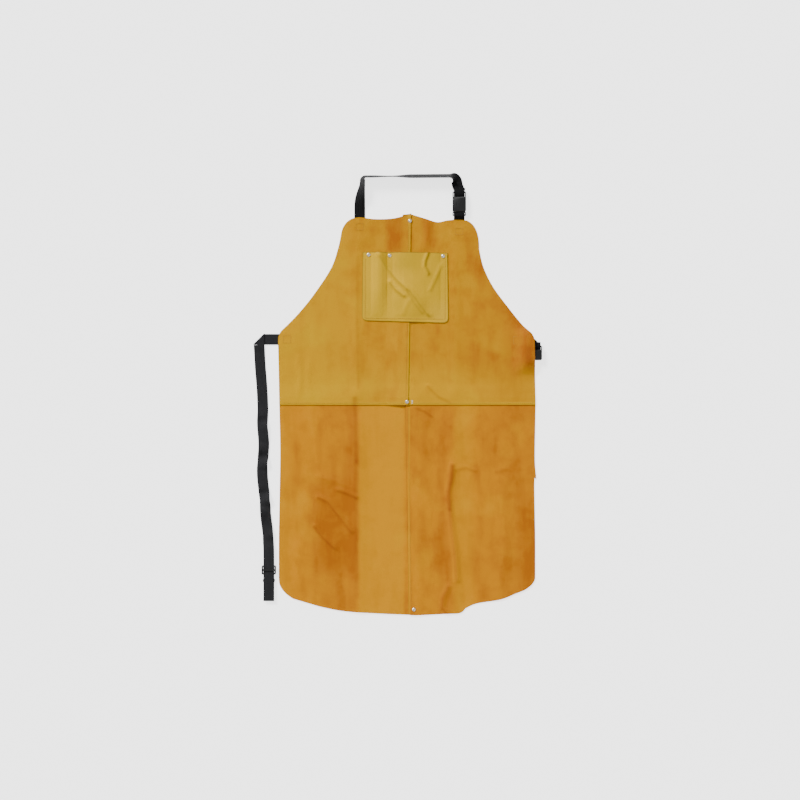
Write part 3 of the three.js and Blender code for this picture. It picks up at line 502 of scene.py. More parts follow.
# Each fold is the line that it follows, in millimetres, its height and its width.
PANEL_FOLDS = [
    ([(-112, -484), (-113, -240), (-114, 20)], 2.6, 18),
    ([(-114, 20), (-117, 200), (-112, 428)], 1.1, 14),
    ([(107, -480), (106, -200), (108, 20)], 1.7, 18),
    ([(108, 20), (110, 220), (108, 420)], 1.0, 14),
    ([(103, -140), (101, -168), (95, -200), (99, -248), (104, -297), (111, -345), (115, -402)], 3.2, 7),
    ([(95, -418), (83, -443), (81, -467), (91, -478)], 2.4, 6),
    ([(-270, -166), (0, -168), (285, -164)], 0.4, 13),
    ([(-161, -194), (-139, -201), (-117, -211)], 2.0, 5),
    ([(-205, -211), (-183, -221), (-167, -241), (-147, -265), (-129, -290)], 2.4, 6),
    ([(-213, -277), (-195, -301), (-167, -328)], 2.0, 5.5),
    ([(-205, -165), (-160, -178), (-124, -192)], 1.2, 8),
    ([(19, -4), (39, -11), (57, -23)], 1.6, 4.5),
    ([(24, -26), (44, -38)], 1.0, 5),
    ([(47, 45), (71, 21), (99, 9)], 1.6, 5),
    ([(10, 62), (16, 40), (30, 24)], 1.2, 6),
    ([(-255, -330), (-250, -410)], 1.2, 16),
    ([(215, -180), (225, -320), (210, -440)], 1.5, 18),
    ([(50, 428), (47, 400), (40, 365)], 1.4, 9),
    ([(-250, 110), (-246, 60), (-252, 12)], 1.3, 7),
    ([(-226, 96), (-228, 50), (-222, 14)], 1.0, 7),
    ([(110, -148), (134, -142), (156, -150)], 0.9, 5),
    ([(204, -152), (228, -146)], 0.8, 5),
]
# Painted shade along the folds, where the suede is darkened beside a fold: the line, how dark and how wide.
CREASE_SHADE = [
    ([(-121, 14), (-119, -60), (-118, -130)], 0.5, 6),
    ([(-119, -130), (-118, -300), (-117, -420)], 0.28, 5),
    ([(103, -140), (101, -168), (95, -200), (97, -240)], 0.75, 5.5),
    ([(97, -240), (102, -297), (108, -345), (112, -402)], 0.35, 3.5),
    ([(93, -420), (81, -443), (79, -467), (88, -478)], 0.55, 3.5),
    ([(-161, -198), (-139, -205), (-117, -215)], 0.45, 3),
    ([(-205, -214), (-183, -225), (-169, -244), (-149, -268), (-131, -293)], 0.42, 3),
    ([(-215, -280), (-197, -304), (-169, -331)], 0.48, 3),
    ([(19, -7), (39, -15), (57, -27)], 0.45, 3),
    ([(47, 42), (71, 18), (99, 5)], 0.32, 3),
    ([(110, -151), (134, -146), (156, -153)], 0.25, 3.5),
    ([(204, -155), (228, -150)], 0.22, 3.5),
    ([(278, 128), (275, 110), (281, 98)], 0.7, 11),
    ([(262, 182), (276, 166)], 0.35, 8),
    ([(-114, 340), (-116, 200), (-113, 40)], 0.22, 3.5),
]
POCKET_FOLDS = [
    ([(-66, 346), (-46, 316), (-22, 287), (6, 264), (30, 232), (52, 203)], 3.4, 6),
    ([(-40, 284), (-26, 266), (-8, 252)], 2.6, 4.5),
    ([(-2, 268), (14, 240), (34, 214)], 1.3, 4.5),
    ([(46, 349), (39, 330), (38, 318), (47, 302)], 2.8, 4),
    ([(77, 322), (64, 292), (52, 266)], 1.3, 4.5),
    ([(-10, 210), (-4, 226), (4, 240)], 0.9, 5),
]
# Painted shade along the pocket's folds: the line, how dark and how wide.
POCKET_CREASE_SHADE = [
    ([(-64, 342), (-46, 312), (-22, 283), (6, 260), (30, 228), (50, 203)], 0.30, 2.5),
    ([(-40, 280), (-26, 262), (-8, 248)], 0.34, 2.2),
    ([(50, 349), (43, 330), (42, 318), (50, 302)], 0.45, 2.8),
    ([(80, 318), (67, 288), (55, 262)], 0.22, 2.5),
    ([(-2, 264), (14, 236), (34, 210)], 0.22, 2.5),
]


def from_line(x, y, line):
    """The distance from a point to a line of points."""
    best = 1e9
    for (ax, ay), (bx, by) in zip(line, line[1:]):
        dx, dy = bx - ax, by - ay
        t = min(max(((x - ax) * dx + (y - ay) * dy) / (dx * dx + dy * dy), 0.0), 1.0)
        best = min(best, math.hypot(x - ax - t * dx, y - ay - t * dy))
    return best


def ridges(x, y, folds):
    """The sum of the folds at a point: each is highest on its line and fades over its width."""
    total = 0.0
    for line, height, width in folds:
        reach = 2.6 * width
        if min(px for px, _ in line) - reach < x < max(px for px, _ in line) + reach:
            distance = from_line(x, y, line)
            if distance < reach:
                total += height * math.exp(-((distance / width) ** 2))
    return total


def calm(x, y):
    """How freely the leather can lift: little at the waist fold and at the bib's two top corners, by the neck
    strap.
    """
    waist = 0.12 + 0.88 * smooth(abs(y + 2), 6, 46)
    neck = 1 - smooth(x, 78, 100) * smooth(y, 350, 385)
    strap = 1 - 0.8 * smooth(-x, 60, 90) * smooth(y, 375, 400)
    return waist * neck * strap


def lift(x, y):
    """How far the leather lies above flat at a point in metres, the same for every layer, in metres."""
    wrinkle = bpy.context.scene.apron_leather.wrinkle
    px, py = x / MM, y / MM
    broad = 1.5 * noise.noise(Vector((px / 150, py / 190, 3.1)))
    small = 0.45 * noise.noise(Vector((px / 46, py / 60, 7.7)))
    height = 0.5 + broad + small + ridges(px, py, PANEL_FOLDS)
    height = 0.5 * (height + math.sqrt(height * height + 0.09))
    return wrinkle * calm(px, py) * height * MM


def pocket_lift(x, y):
    """The pocket's own creases on top of the leather's, in metres."""
    wrinkle = bpy.context.scene.apron_leather.wrinkle
    px, py = x / MM, y / MM
    hold = smooth(py, 196, 212) * smooth(px, -99, -90) * smooth(-px, -88, -78)
    ripple = 0.5 * (noise.noise(Vector((px / 24, py / 30, 1.9))) + 0.6)
    return lift(x, y) + wrinkle * hold * (ridges(px, py, POCKET_FOLDS) + ripple) * MM


# ---- making meshes ----------------------------------------------------------------------------------


def place(name, build, finish, smooth_angle=40):
    """Turns a bmesh into a piece with a finish."""
    mesh = bpy.data.meshes.new(name)
    build.to_mesh(mesh)
    build.free()
    mesh.materials.append(finish_named(finish))
    piece = bpy.data.objects.new(name, mesh)
    bpy.context.scene.collection.objects.link(piece)
    mesh.shade_smooth()
    mesh.set_sharp_from_angle(angle=math.radians(smooth_angle))
    return piece


def apply_modifiers(piece):
    """Fixes the modifiers into the piece's mesh."""
    depsgraph = bpy.context.evaluated_depsgraph_get()
    mesh = bpy.data.meshes.new_from_object(piece.evaluated_get(depsgraph))
    piece.modifiers.clear()
    old = piece.data
    piece.data = mesh
    bpy.data.meshes.remove(old)
    return piece


def copy_of(node):
    """A bmesh with a node's shape, its seams closed."""
    build = bmesh.new()
    build.from_mesh(frame["nodes"][node].data)
    bmesh.ops.remove_doubles(build, verts=build.verts, dist=1e-6)
    return build


def top_of(node):
    """The upper skin of a flat node."""
    build = copy_of(node)
    build.normal_update()
    under = [f for f in build.faces if f.normal.z < 0.3]
    bmesh.ops.delete(build, geom=under, context="FACES")
    bmesh.ops.dissolve_limit(
        build, angle_limit=math.radians(0.3), verts=build.verts, edges=build.edges)
    return build


def cut_into_grid(build, low, high, step):
    """Cuts the skin along evenly spaced lines both ways, so that it can bend."""
    for axis in (0, 1):
        count = int((high[axis] - low[axis]) / step)
        for i in range(1, count + 1):
            point = Vector((0, 0, 0))
            point[axis] = low[axis] + i * (high[axis] - low[axis]) / (count + 1)
            normal = Vector((0, 0, 0))
            normal[axis] = 1
            geometry = build.verts[:] + build.edges[:] + build.faces[:]
            bmesh.ops.bisect_plane(build, geom=geometry, dist=2e-5, plane_co=point, plane_no=normal)


def extend_top(build, rows):
    """Carries a skirt panel's upper edge on behind the bib, as one sheet."""
    build.edges.ensure_lookup_table()
    top = max(v.co.y for v in build.verts)
    edges = [e for e in build.edges if e.is_boundary and all(abs(v.co.y - top) < 1e-5 for v in e.verts)]
    for y in rows:
        made = bmesh.ops.extrude_edge_only(build, edges=edges)["geom"]
        edges = [g for g in made if isinstance(g, bmesh.types.BMEdge)]
        for vert in {v for e in edges for v in e.verts}:
            vert.co.y = y
    bmesh.ops.recalc_face_normals(build, faces=build.faces)
    if sum(f.normal.z for f in build.faces) < 0:
        bmesh.ops.reverse_faces(build, faces=build.faces)


def mark_edges(build):
    """Stores each point's distance to the cut edge, in millimetres."""
    layer = build.verts.layers.float.new("edge_distance")
    points = []
    for edge in build.edges:
        if edge.is_boundary:
            a, b = (v.co for v in edge.verts)
            steps = max(1, int((b - a).length / 0.002))
            points += [a.lerp(b, i / steps) for i in range(steps + 1)]
    tree = KDTree(len(points))
    for i, point in enumerate(points):
        tree.insert((point.x, point.y, 0), i)
    tree.balance()
    for vert in build.verts:
        vert[layer] = min(30.0, tree.find((vert.co.x, vert.co.y, 0))[2] / MM)


def swell(build, socket, tab_top):
    """Rounds the skin where it swells over the waist socket, and keeps it high enough to cover the socket."""
    left, bottom, top = 200 * MM, 20 * MM, 240 * MM
    rings, spokes = (3.5 * MM, 7 * MM, 10.5 * MM), 10
    turns = [2 * math.pi * k / spokes for k in range(spokes)]
    around = [(0, 0)] + [(ring * math.cos(turn), ring * math.sin(turn)) for ring in rings for turn in turns]
    tree = BVHTree.FromBMesh(build)
    means = {}
    for vert in build.verts:
        x, y = vert.co.x, vert.co.y
        if x > left and bottom < y < top:
            hits = [tree.ray_cast(Vector((x + dx, y + dy, 1)), Vector((0, 0, -1)))[0] for dx, dy in around]
            heights = [hit.z for hit in hits if hit] or [vert.co.z]
            means[vert] = sum(heights) / len(heights)

    def over(co):
        """1 over the socket and its webbing, and 0 well away from them."""
        beside = smooth(co.x, socket.x - 40 * MM, socket.x - 6 * MM)
        above = smooth(co.y, socket.y - 35 * MM, socket.y - 5 * MM)
        return beside * above * smooth(-co.y, -tab_top - 30 * MM, -tab_top)

    short = max([0.0] + [vert.co.z - mean for vert, mean in means.items() if over(vert.co) > 0.999])
    for vert, mean in means.items():
        vert.co.z = mean + short * over(vert.co)


def leather(name, node, finish, step, raised, creases, rows=()):
    """A piece of leather with a node's outline and seat, bent into its wrinkles and given its thickness."""
    build = top_of(node)
    low, high = corners(node)
    cut_into_grid(build, low, high, step)
    if rows:
        extend_top(build, rows)
    if node == "bib_right_panel":
        swell(build, corners("waist_buckle_female")[0], corners("waist_tab")[1].y)
    mark_edges(build)
    # Stores how much painted shade each point gets along the folds.
    layer = build.verts.layers.float.new("crease_shade")
    for vert in build.verts:
        vert[layer] = min(1.0, ridges(vert.co.x / MM, vert.co.y / MM, creases))
        vert.co.z += raised(vert.co.x, vert.co.y)
    piece = place(name, build, finish)
    solid = piece.modifiers.new("thickness", "SOLIDIFY")
    solid.thickness = LEATHER
    solid.offset = -1
    piece = apply_modifiers(piece)
    lowest = min(v.co.z for v in piece.data.vertices)
    for vert in piece.data.vertices:
        vert.co.z = max(vert.co.z, 0.0) if lowest < 0 else vert.co.z
    piece.data.set_sharp_from_angle(angle=math.radians(50))
    return piece


def band(name, rows, ups, finish, columns=13, width=2 * HALF_WEB):
    """A strap of webbing. Each row is its two ends across, and each up is the way its face looks there."""
    build = bmesh.new()
    uv = build.loops.layers.uv.new("Weave")
    shares = [0.5 - 0.5 * math.cos(math.pi * j / (columns - 1)) for j in range(columns)]
    travelled = [0.0]
    for (a, b), (c, d) in zip(rows, rows[1:]):
        travelled.append(travelled[-1] + ((c + d) / 2 - (a + b) / 2).length)
    top, bottom, where = [], [], {}
    for i, ((start, end), up) in enumerate(zip(rows, ups)):
        upper, lower = [], []
        for share in shares:
            centre = start.lerp(end, share)
            rim = abs(2 * share - 1) ** 8
            half = WEB / 2 * (1 - 0.45 * rim)
            for side, line in ((1, upper), (-1, lower)):
                vert = build.verts.new(centre + side * half * up)
                where[vert] = ((share - 0.5) * width, travelled[i])
                line.append(vert)
        top.append(upper)
        bottom.append(lower)
    for i in range(len(rows) - 1):
        for j in range(columns - 1):
            build.faces.new((top[i][j], top[i][j + 1], top[i + 1][j + 1], top[i + 1][j]))
            build.faces.new((bottom[i][j], bottom[i + 1][j], bottom[i + 1][j + 1], bottom[i][j + 1]))
        build.faces.new((top[i][0], top[i + 1][0], bottom[i + 1][0], bottom[i][0]))
        build.faces.new((top[i][-1], bottom[i][-1], bottom[i + 1][-1], top[i + 1][-1]))
    for i in (0, -1):
        for j in range(columns - 1):
            build.faces.new((top[i][j], bottom[i][j], bottom[i][j + 1], top[i][j + 1]))
    bmesh.ops.recalc_face_normals(build, faces=build.faces)
    for face in build.faces:
        for loop in face.loops:
            loop[uv].uv = where[loop.vert]
    return place(name, build, finish, 60), travelled[-1]


def follow(points, ways):
    """Rows and upward directions for a strap along points, each with the way across it."""
    rows, ups = [], []
    for i, (point, way) in enumerate(zip(points, ways)):
        before, after = points[max(i - 1, 0)], points[min(i + 1, len(points) - 1)]
        along = (after - before).normalized()
        up = along.cross(way).normalized()
        across = up.cross(along).normalized()
        if across.dot(way) < 0:
            across = -across
        rows.append((point - across * HALF_WEB, point + across * HALF_WEB))
        ups.append(up)
    return rows, ups


def denser(points, step):
    """More points along the same path, by a smooth curve through them."""
    dense = []
    for i in range(len(points) - 1):
        p0, p1 = points[max(i - 1, 0)], points[i]
        p2, p3 = points[i + 1], points[min(i + 2, len(points) - 1)]
        count = max(1, int((p2 - p1).length / step))
        for k in range(count):
            t = k / count
            dense.append(0.5 * (
                2 * p1 + (p2 - p0) * t + (2 * p0 - 5 * p1 + 4 * p2 - p3) * t * t
                + (3 * p1 - p0 - 3 * p2 + p3) * t * t * t))
    return dense + [points[-1]]


def lathe(name, profile, centre, finish, around=40):
    """A turned piece from (radius, height) pairs, about an upright line through centre."""
    build = bmesh.new()
    rings = []
    for radius, height in profile:
        if radius < 1e-7:
            rings.append([build.verts.new(centre + Vector((0, 0, height)))])
            continue
        ring = []
        for i in range(around):
            angle = 2 * math.pi * i / around
            ring.append(build.verts.new(
                centre + Vector((radius * math.cos(angle), radius * math.sin(angle), height))))
        rings.append(ring)
    for a, b in zip(rings, rings[1:]):
        for i in range(around):
            j = (i + 1) % around
            if len(a) == 1:
                build.faces.new((a[0], b[i], b[j]))
            elif len(b) == 1:
                build.faces.new((a[i], b[0], a[j]))
            else:
                build.faces.new((a[i], b[i], b[j], a[j]))
    bmesh.ops.recalc_face_normals(build, faces=build.faces)
    return place(name, build, finish, 35)


def add_stitch(build, centre, along, up, length, thick):
    """One stitch: a bead of thread that dips into the leather at both ends."""
    across = up.cross(along).normalized()
    rings = []
    for share, girth in ((-0.5, 0.35), (-0.34, 0.8), (0.0, 1.0), (0.34, 0.8), (0.5, 0.35)):
        dip = -abs(share) ** 2 * thick * 1.1
        middle = centre + along * (share * length) + up * dip
        ring = []
        for k in range(6):
            angle = 2 * math.pi * k / 6
            ring.append(build.verts.new(
                middle + (across * math.cos(angle) + up * math.sin(angle) * 0.8) * girth * thick / 2))
        rings.append(ring)
    for a, b in zip(rings, rings[1:]):
        for k in range(6):
            build.faces.new((a[k], b[k], b[(k + 1) % 6], a[(k + 1) % 6]))
    build.faces.new(rings[0][::-1])
    build.faces.new(rings[-1])


def stitching(name, node, lines, raised):
    """A run of stitches along lines, lying on whatever leather the node lies on."""
    sewing = bpy.context.scene.apron_sewing
    source = copy_of(node)
    tree = BVHTree.FromBMesh(source)
    build = bmesh.new()
    low, _ = corners(node)

    def seat(x, y):
        """The top of what the thread was sewn on."""
        hit = tree.ray_cast(Vector((x, y, -0.01)), Vector((0, 0, 1)))[0]
        return hit.z if hit else low.z

    for line in lines:
        for a, b in zip(line, line[1:]):
            a, b = Vector((*a, 0)), Vector((*b, 0))
            pitch = sewing.stitch + sewing.gap
            count = max(1, round((b - a).length / pitch))
            for i in range(count):
                p = a.lerp(b, (i + 0.5) / count)
                half = (b - a).normalized() * sewing.stitch / 2
                ends = [q.xy.to_3d() for q in (p - half, p + half)]
                for q in ends:
                    q.z = seat(p.x, p.y) + raised(q.x, q.y) + sewing.thread * 0.32
                along = (ends[1] - ends[0]).normalized()
                side = Vector((-along.y, along.x, 0)).normalized()
                up = along.cross(side)
                up = up if up.z > 0 else -up
                middle = (ends[0] + ends[1]) / 2
                add_stitch(build, middle, along, up, sewing.stitch, sewing.thread)
    source.free()
    bmesh.ops.recalc_face_normals(build, faces=build.faces)
    piece = place(name, build, "thread_cotton", 60)
    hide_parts(node)
    return piece


def moulded(name, node, body, ribs=()):
    """A moulded plastic piece with a node's shape, its edges rounded, and grip ribs where they are given."""
    build = copy_of(node)
    bmesh.ops.dissolve_limit(
        build, angle_limit=math.radians(1), verts=build.verts, edges=build.edges)
    piece = place(name, build, "buckle_plastic", 30)
    bevel = piece.modifiers.new("rounding", "BEVEL")
    bevel.width = bpy.context.scene.apron_straps.edge_round
    bevel.segments = 2
    bevel.limit_method = "ANGLE"
    bevel.angle_limit = math.radians(30)
    bevel.use_clamp_overlap = True
    piece = apply_modifiers(piece)
    piece.data.set_sharp_from_angle(angle=math.radians(38))
    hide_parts(node)
    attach(piece, body)
    for i, (start, end, radius) in enumerate(ribs):
        rib = raised_rib(f"{name}_rib_{i + 1}", Vector(start), Vector(end), radius)
        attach(rib, body)
    return piece


def raised_rib(name, start, end, radius):
    """A low rounded bar moulded on a face."""
    build = bmesh.new()
    add_stitch(build, (start + end) / 2, (end - start).normalized(), Vector((0, 0, 1)),
               (end - start).length, 2 * radius)
    bmesh.ops.recalc_face_normals(build, faces=build.faces)
    piece = place(name, build, "buckle_plastic", 60)
    rounding = piece.modifiers.new("rounding", "SUBSURF")
    rounding.levels = rounding.render_levels = 1
    return apply_modifiers(piece)


# ---- operators --------------------------------------------------------------------------------------


class APRON_OT_bib(bpy.types.Operator):
    """Cut the bib's two panels"""

    bl_idname = "apron.bib"
    bl_label = "Bib"

    def execute(self, context):
        step = context.scene.apron_leather.mesh_step
        for side, area, width in (("left", 0.1037, 0.307), ("right", 0.1064, 0.313)):
            node = f"bib_{side}_panel"
            piece = leather(f"bib_{side}", node, "bib_suede", step, lift, CREASE_SHADE)
            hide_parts(node)
            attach(piece, "bib")
        return {"FINISHED"}


class APRON_OT_skirt(bpy.types.Operator):
    """Cut the skirt's two panels, each in one piece with its strip behind the bib"""

    bl_idname = "apron.skirt"
    bl_label = "Skirt"

    def execute(self, context):
        step = context.scene.apron_leather.mesh_step
        rows = [y * MM for y in (-1.5, -0.5, 0.6, 2, 5, 10, 15)]
        for side, area, flat in (("left", 0.1515, (0.319, 0.498)), ("right", 0.1402, (0.301, 0.499))):
            node = f"skirt_{side}_panel"
            piece = leather(f"skirt_{side}", node, "skirt_suede", step, lift, CREASE_SHADE, rows)
            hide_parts(node, f"skirt_{side}_top_strip")
            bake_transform(piece)
        return {"FINISHED"}


class APRON_OT_pocket(bpy.types.Operator):
    """Cut the chest pocket"""

    bl_idname = "apron.pocket"
    bl_label = "Chest pocket"

    def execute(self, context):
        step = context.scene.apron_leather.pocket_step
        piece = leather("chest_pocket_hide", "chest_pocket", "pocket_hide", step, pocket_lift, POCKET_CREASE_SHADE)
        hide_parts("chest_pocket")
        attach(piece, "bib")
        return {"FINISHED"}


RIVET_NAMES = ("top_seam", "waist_seam", "pocket_left", "pocket_pen", "pocket_right", "hem")


class APRON_OT_rivets(bpy.types.Operator):
    """Set the rivets, cap and back"""

    bl_idname = "apron.rivets"
    bl_label = "Rivets"

    def execute(self, context):
        for name in RIVET_NAMES:
            body = "skirt" if name == "hem" else "bib"
            raised = pocket_lift if name.startswith("pocket") else lift
            low, high = corners(f"rivet_cap_{name}")
            middle = (low + high) / 2
            up = raised(middle.x, middle.y)
            seat = high.z - 2.0 * MM + up
            radius = 4.3 * MM
            profile = [(0, 0.65 * MM - seat), (1.3 * MM, 0.65 * MM - seat), (1.3 * MM, -0.1 * MM)]
            profile += [(radius * 0.9, 0.0), (radius, 0.25 * MM), (radius * 0.97, 0.6 * MM)]
            profile += [(radius * 0.88, 0.72 * MM), (radius * 0.8, 0.8 * MM)]
            for i in range(1, 9):
                angle = i / 8 * math.pi / 2
                profile.append((radius * 0.78 * math.cos(angle), (0.85 + 1.1 * math.sin(angle)) * MM))
            profile[-1] = (0, profile[-1][1])
            cap = lathe(f"rivet_{name}", profile, Vector((middle.x, middle.y, seat)), "rivet_nickel")
            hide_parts(f"rivet_cap_{name}")
            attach(cap, body)
            low, high = corners(f"rivet_back_{name}")
            middle = (low + high) / 2
            shape = [(0, 0.2), (1.2, 0.2), (1.5, 0.05), (1.9, 0.0), (3.6, 0.0), (4.0, 0.2), (4.0, 0.45)]
            shape += [(3.7, 0.6), (0, 0.6)]
            back = lathe(f"rivet_burr_{name}", [(r * MM, h * MM) for r, h in shape],
                         Vector((middle.x, middle.y, 0)), "rivet_nickel")
            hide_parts(f"rivet_back_{name}")
            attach(back, body)
        return {"FINISHED"}


def straight(node, side="y"):
    """The middle line of a straight run of thread."""
    mesh = frame["nodes"][node].data
    axis = 1 if side == "y" else 0
    values = [v.co[axis] for v in mesh.vertices]
    low, high = min(values), max(values)
    ends = []
    for value in (low, high):
        near = [v.co for v in mesh.vertices if abs(v.co[axis] - value) < 1e-4]
        across = [c[1 - axis] for c in near]
        middle = (min(across) + max(across)) / 2
        ends.append((middle, value) if axis == 1 else (value, middle))
    return ends


def square(node):
    """The middle line round a box of thread."""
    low, high = corners(node)
    inset = 0.6 * MM
    x0, x1, y0, y1 = low.x + inset, high.x - inset, low.y + inset, high.y - inset
    return [(x0, y0), (x1, y0), (x1, y1), (x0, y1), (x0, y0)]


class APRON_OT_stitching(bpy.types.Operator):
    """Sew the seams, the pocket and the box stitches over the webbing's ends"""

    bl_idname = "apron.stitching"
    bl_label = "Stitching"

    def execute(self, context):
        pieces = []
        for node in ("bib_seam_thread_lower", "bib_seam_thread_upper", "skirt_seam_thread"):
            pieces.append((node, stitching(f"{node}_stitches", node, [straight(node)], lift)))
        for node in ("waist_seam_thread_left", "waist_seam_thread_right"):
            line = straight(node, "x")
            pieces.append((node, stitching(f"{node}_stitches", node, [line], lift)))
        for node in ("neck_left", "neck_right", "waist_left", "waist_right"):
            node = f"{node}_box_stitch"
            pieces.append((node, stitching(f"{node}_stitches", node, [square(node)], lift)))
        node = "pocket_seam_thread"
        low, high = corners(node)
        inset = 0.6 * MM
        x0, x1 = low.x + inset, high.x - inset
        line = [(x0, high.y), (x0, low.y + 2 * MM + inset), (x1, low.y + inset), (x1, high.y)]
        pieces.append((node, stitching(f"{node}_stitches", node, [line], pocket_lift)))
        for node, piece in pieces:
            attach(piece, "skirt" if node.startswith("skirt") else "bib")
        return {"FINISHED"}


class APRON_OT_tack(bpy.types.Operator):
    """Sew the bar tack beside the waist rivet"""

    bl_idname = "apron.tack"
    bl_label = "Bar tack"

    def execute(self, context):
        low, high = corners("rivet_cap_waist_seam")
        x, y = (low.x + high.x) / 2 + 12.3 * MM, (low.y + high.y) / 2 - 0.5 * MM
        tree = BVHTree.FromObject(bpy.data.objects["bib_right"], context.evaluated_depsgraph_get())
        build = bmesh.new()
        for i in range(9):
            spot = y + (i - 4) * 1.0 * MM
            hit = tree.ray_cast(Vector((x, spot, 0.1)), Vector((0, 0, -1)))[0]
            centre = Vector((x, spot, hit.z + 0.35 * MM))
            add_stitch(build, centre, Vector((1, 0, 0)), Vector((0, 0, 1)), 3.4 * MM, 1.0 * MM)
        bmesh.ops.recalc_face_normals(build, faces=build.faces)
        # The tack's near-white thread is a painted highlight.
        piece = place("waist_bar_tack", build, "highlit_tack_cotton", 60)
        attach(piece, "bib")
        return {"FINISHED"}


def tilted(sideways, degrees):
    """The way across the webbing when it is turned up from flat by an angle."""
    angle = math.radians(degrees)
    return sideways * math.cos(angle) + Vector((0, 0, math.sin(angle)))


def standing(degrees):
    """The height of the webbing's middle when its lower edge touches the floor."""
    angle = math.radians(degrees)
    return HALF_WEB * math.sin(angle) + WEB / 2 * math.cos(angle)


class APRON_OT_neck_strap(bpy.types.Operator):
    """Weave the neck strap, from its sewn end to its tail over the buckle's bar"""

    bl_idname = "apron.neck_strap"
    bl_label = "Neck strap"

    def execute(self, context):
        fold = joint_point("neck_loop_fold")
        sewn_low, sewn_high = corners("neck_strap_sewn_end")
        left = (sewn_low.x + sewn_high.x) / 2
        _, female = corners("neck_buckle_female")
        right = (corners("neck_buckle_female")[0].x + female.x) / 2
        cross = corners("neck_strap")[1].y - 7.0 * MM
        points, ways = [], []

        def add(x, y, turn, sideways, z=None):
            """One more point of the strap, turned up from flat by an angle."""
            points.append(Vector((x, y, standing(turn) if z is None else z)))
            ways.append(tilted(sideways, turn))

        flat = Vector((1, 0, 0))
        for y in (sewn_low.y, sewn_low.y + 10 * MM, sewn_low.y + 22 * MM, fold.y - 8 * MM):
            add(left, y, 0, flat)
        for dy in (-4, -3, -2, -1):
            add(left, fold.y + dy * MM, 0, flat)
        top = cross - 8 * MM
        for i in range(25):
            t = i / 24
            turn = 62 * smooth(t, 0.08, 1)
            shift = HALF_WEB * (1 - math.cos(math.radians(turn)))
            add(left + shift, fold.y + t * (top - fold.y), turn, flat)
        bend = Vector((points[-1].x + 8 * MM, top, 0))
        for i in range(1, 11):
            angle = math.pi - i / 10 * math.pi / 2
            way = Vector((-math.cos(angle), -math.sin(angle), 0))
            add(bend.x + 8 * MM * math.cos(angle), bend.y + 8 * MM * math.sin(angle), 62 + 1.1 * i, way)
        start, end = bend.x + 4 * MM, right - 24 * MM
        for i in range(1, 37):
            t = i / 36
            turn = 73 + 6 * smooth(t, 0.05, 0.25) - 14 * smooth(t, 0.3, 0.55)
            add(start + t * (end - start), cross + 1.5 * MM * t, turn, Vector((0, -1, 0)))
        radius = 17 * MM
        for i in range(1, 17):
            t = i / 16
            angle = math.pi / 2 * (1 - t)
            turn = 65 * (1 - smooth(t, 0, 0.9))
            way = Vector((-math.cos(angle), -math.sin(angle), 0))
            x = right - 5 * MM - radius + radius * math.cos(angle)
            y = cross + 1.5 * MM - radius + radius * math.sin(angle)
            add(x, y, turn, way, standing(turn) + 2 * MM * t * t)
        add(right - 3.2 * MM, cross - 22 * MM, 0, Vector((-1, 0, 0)), 3.2 * MM)
        bar, middle, loop = female.y, 6.5 * MM, 2.7 * MM
        way = Vector((-1, 0, 0))
        add(right, bar + 4 * MM, 0, way, middle - loop)
        add(right, bar - 3.5 * MM, 0, way, middle - loop)
        slack = bar - 10.1 * MM
        for degrees in (-60, -30, 0, 30, 60):
            angle = math.radians(degrees)
            add(right, slack - loop * math.cos(angle) * 0.6, 0, way, middle + loop * math.sin(angle))
        add(right, bar - 3.0 * MM, 0, way, middle + loop)
        add(right, bar + 2 * MM, 0, way, middle + loop)
        add(right + 2 * MM, bar + 10 * MM, 0, way, middle + loop - 1.5 * MM)
        rows, ups = follow(points, ways)
        piece, length = band("neck_strap_web", rows, ups, "black_web")
        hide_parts("neck_strap", "neck_strap_sewn_end")
        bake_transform(piece)
        return {"FINISHED"}


class APRON_OT_neck_tab(bpy.types.Operator):
    """Weave the neck tab: its sewn root, and its loop round the male half's bar"""

    bl_idname = "apron.neck_tab"
    bl_label = "Neck tab"

    def execute(self, context):
        sewn_low, sewn_high = corners("neck_tab_sewn_end")
        tab_low, _ = corners("neck_tab")
        x = (sewn_low.x + sewn_high.x) / 2
        root = tab_low.y
        bar = corners("neck_buckle_male")[0].y
        way = Vector((-1, 0, 0))
        path = [(sewn_low.y, 0.8), (sewn_low.y + 18 * MM, 0.8), (root - 6 * MM, 0.8), (root, 0.8),
                (root + 2.7 * MM, 0.8), (root + 5.2 * MM, 2.0), (root + 6.6 * MM, 3.2)]
        points = denser([Vector((x, y, z * MM)) for y, z in path], 1.2 * MM)
        rows, ups = follow(points, [way] * len(points))
        piece, length = band("neck_tab_root", rows, ups, "black_web")
        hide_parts("neck_tab_sewn_end", "neck_tab")
        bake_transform(piece)
        path = [(root + 7.1 * MM, 4.19), (bar + 5.4 * MM, 4.19), (bar + 6.6 * MM, 5.4),
                (bar + 6.6 * MM, 7.7), (bar + 5.4 * MM, 9.2), (bar, 9.2), (root + 4.9 * MM, 7.0),
                (root + 2.7 * MM, 5.8), (root + 1.2 * MM, 5.4)]
        points = denser([Vector((x, y, z * MM)) for y, z in path], 0.6 * MM)
        rows, ups = follow(points, [way] * len(points))
        piece, length = band("neck_tab_loop", rows, ups, "black_web")
        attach(piece, "neck_male_half")
        return {"FINISHED"}


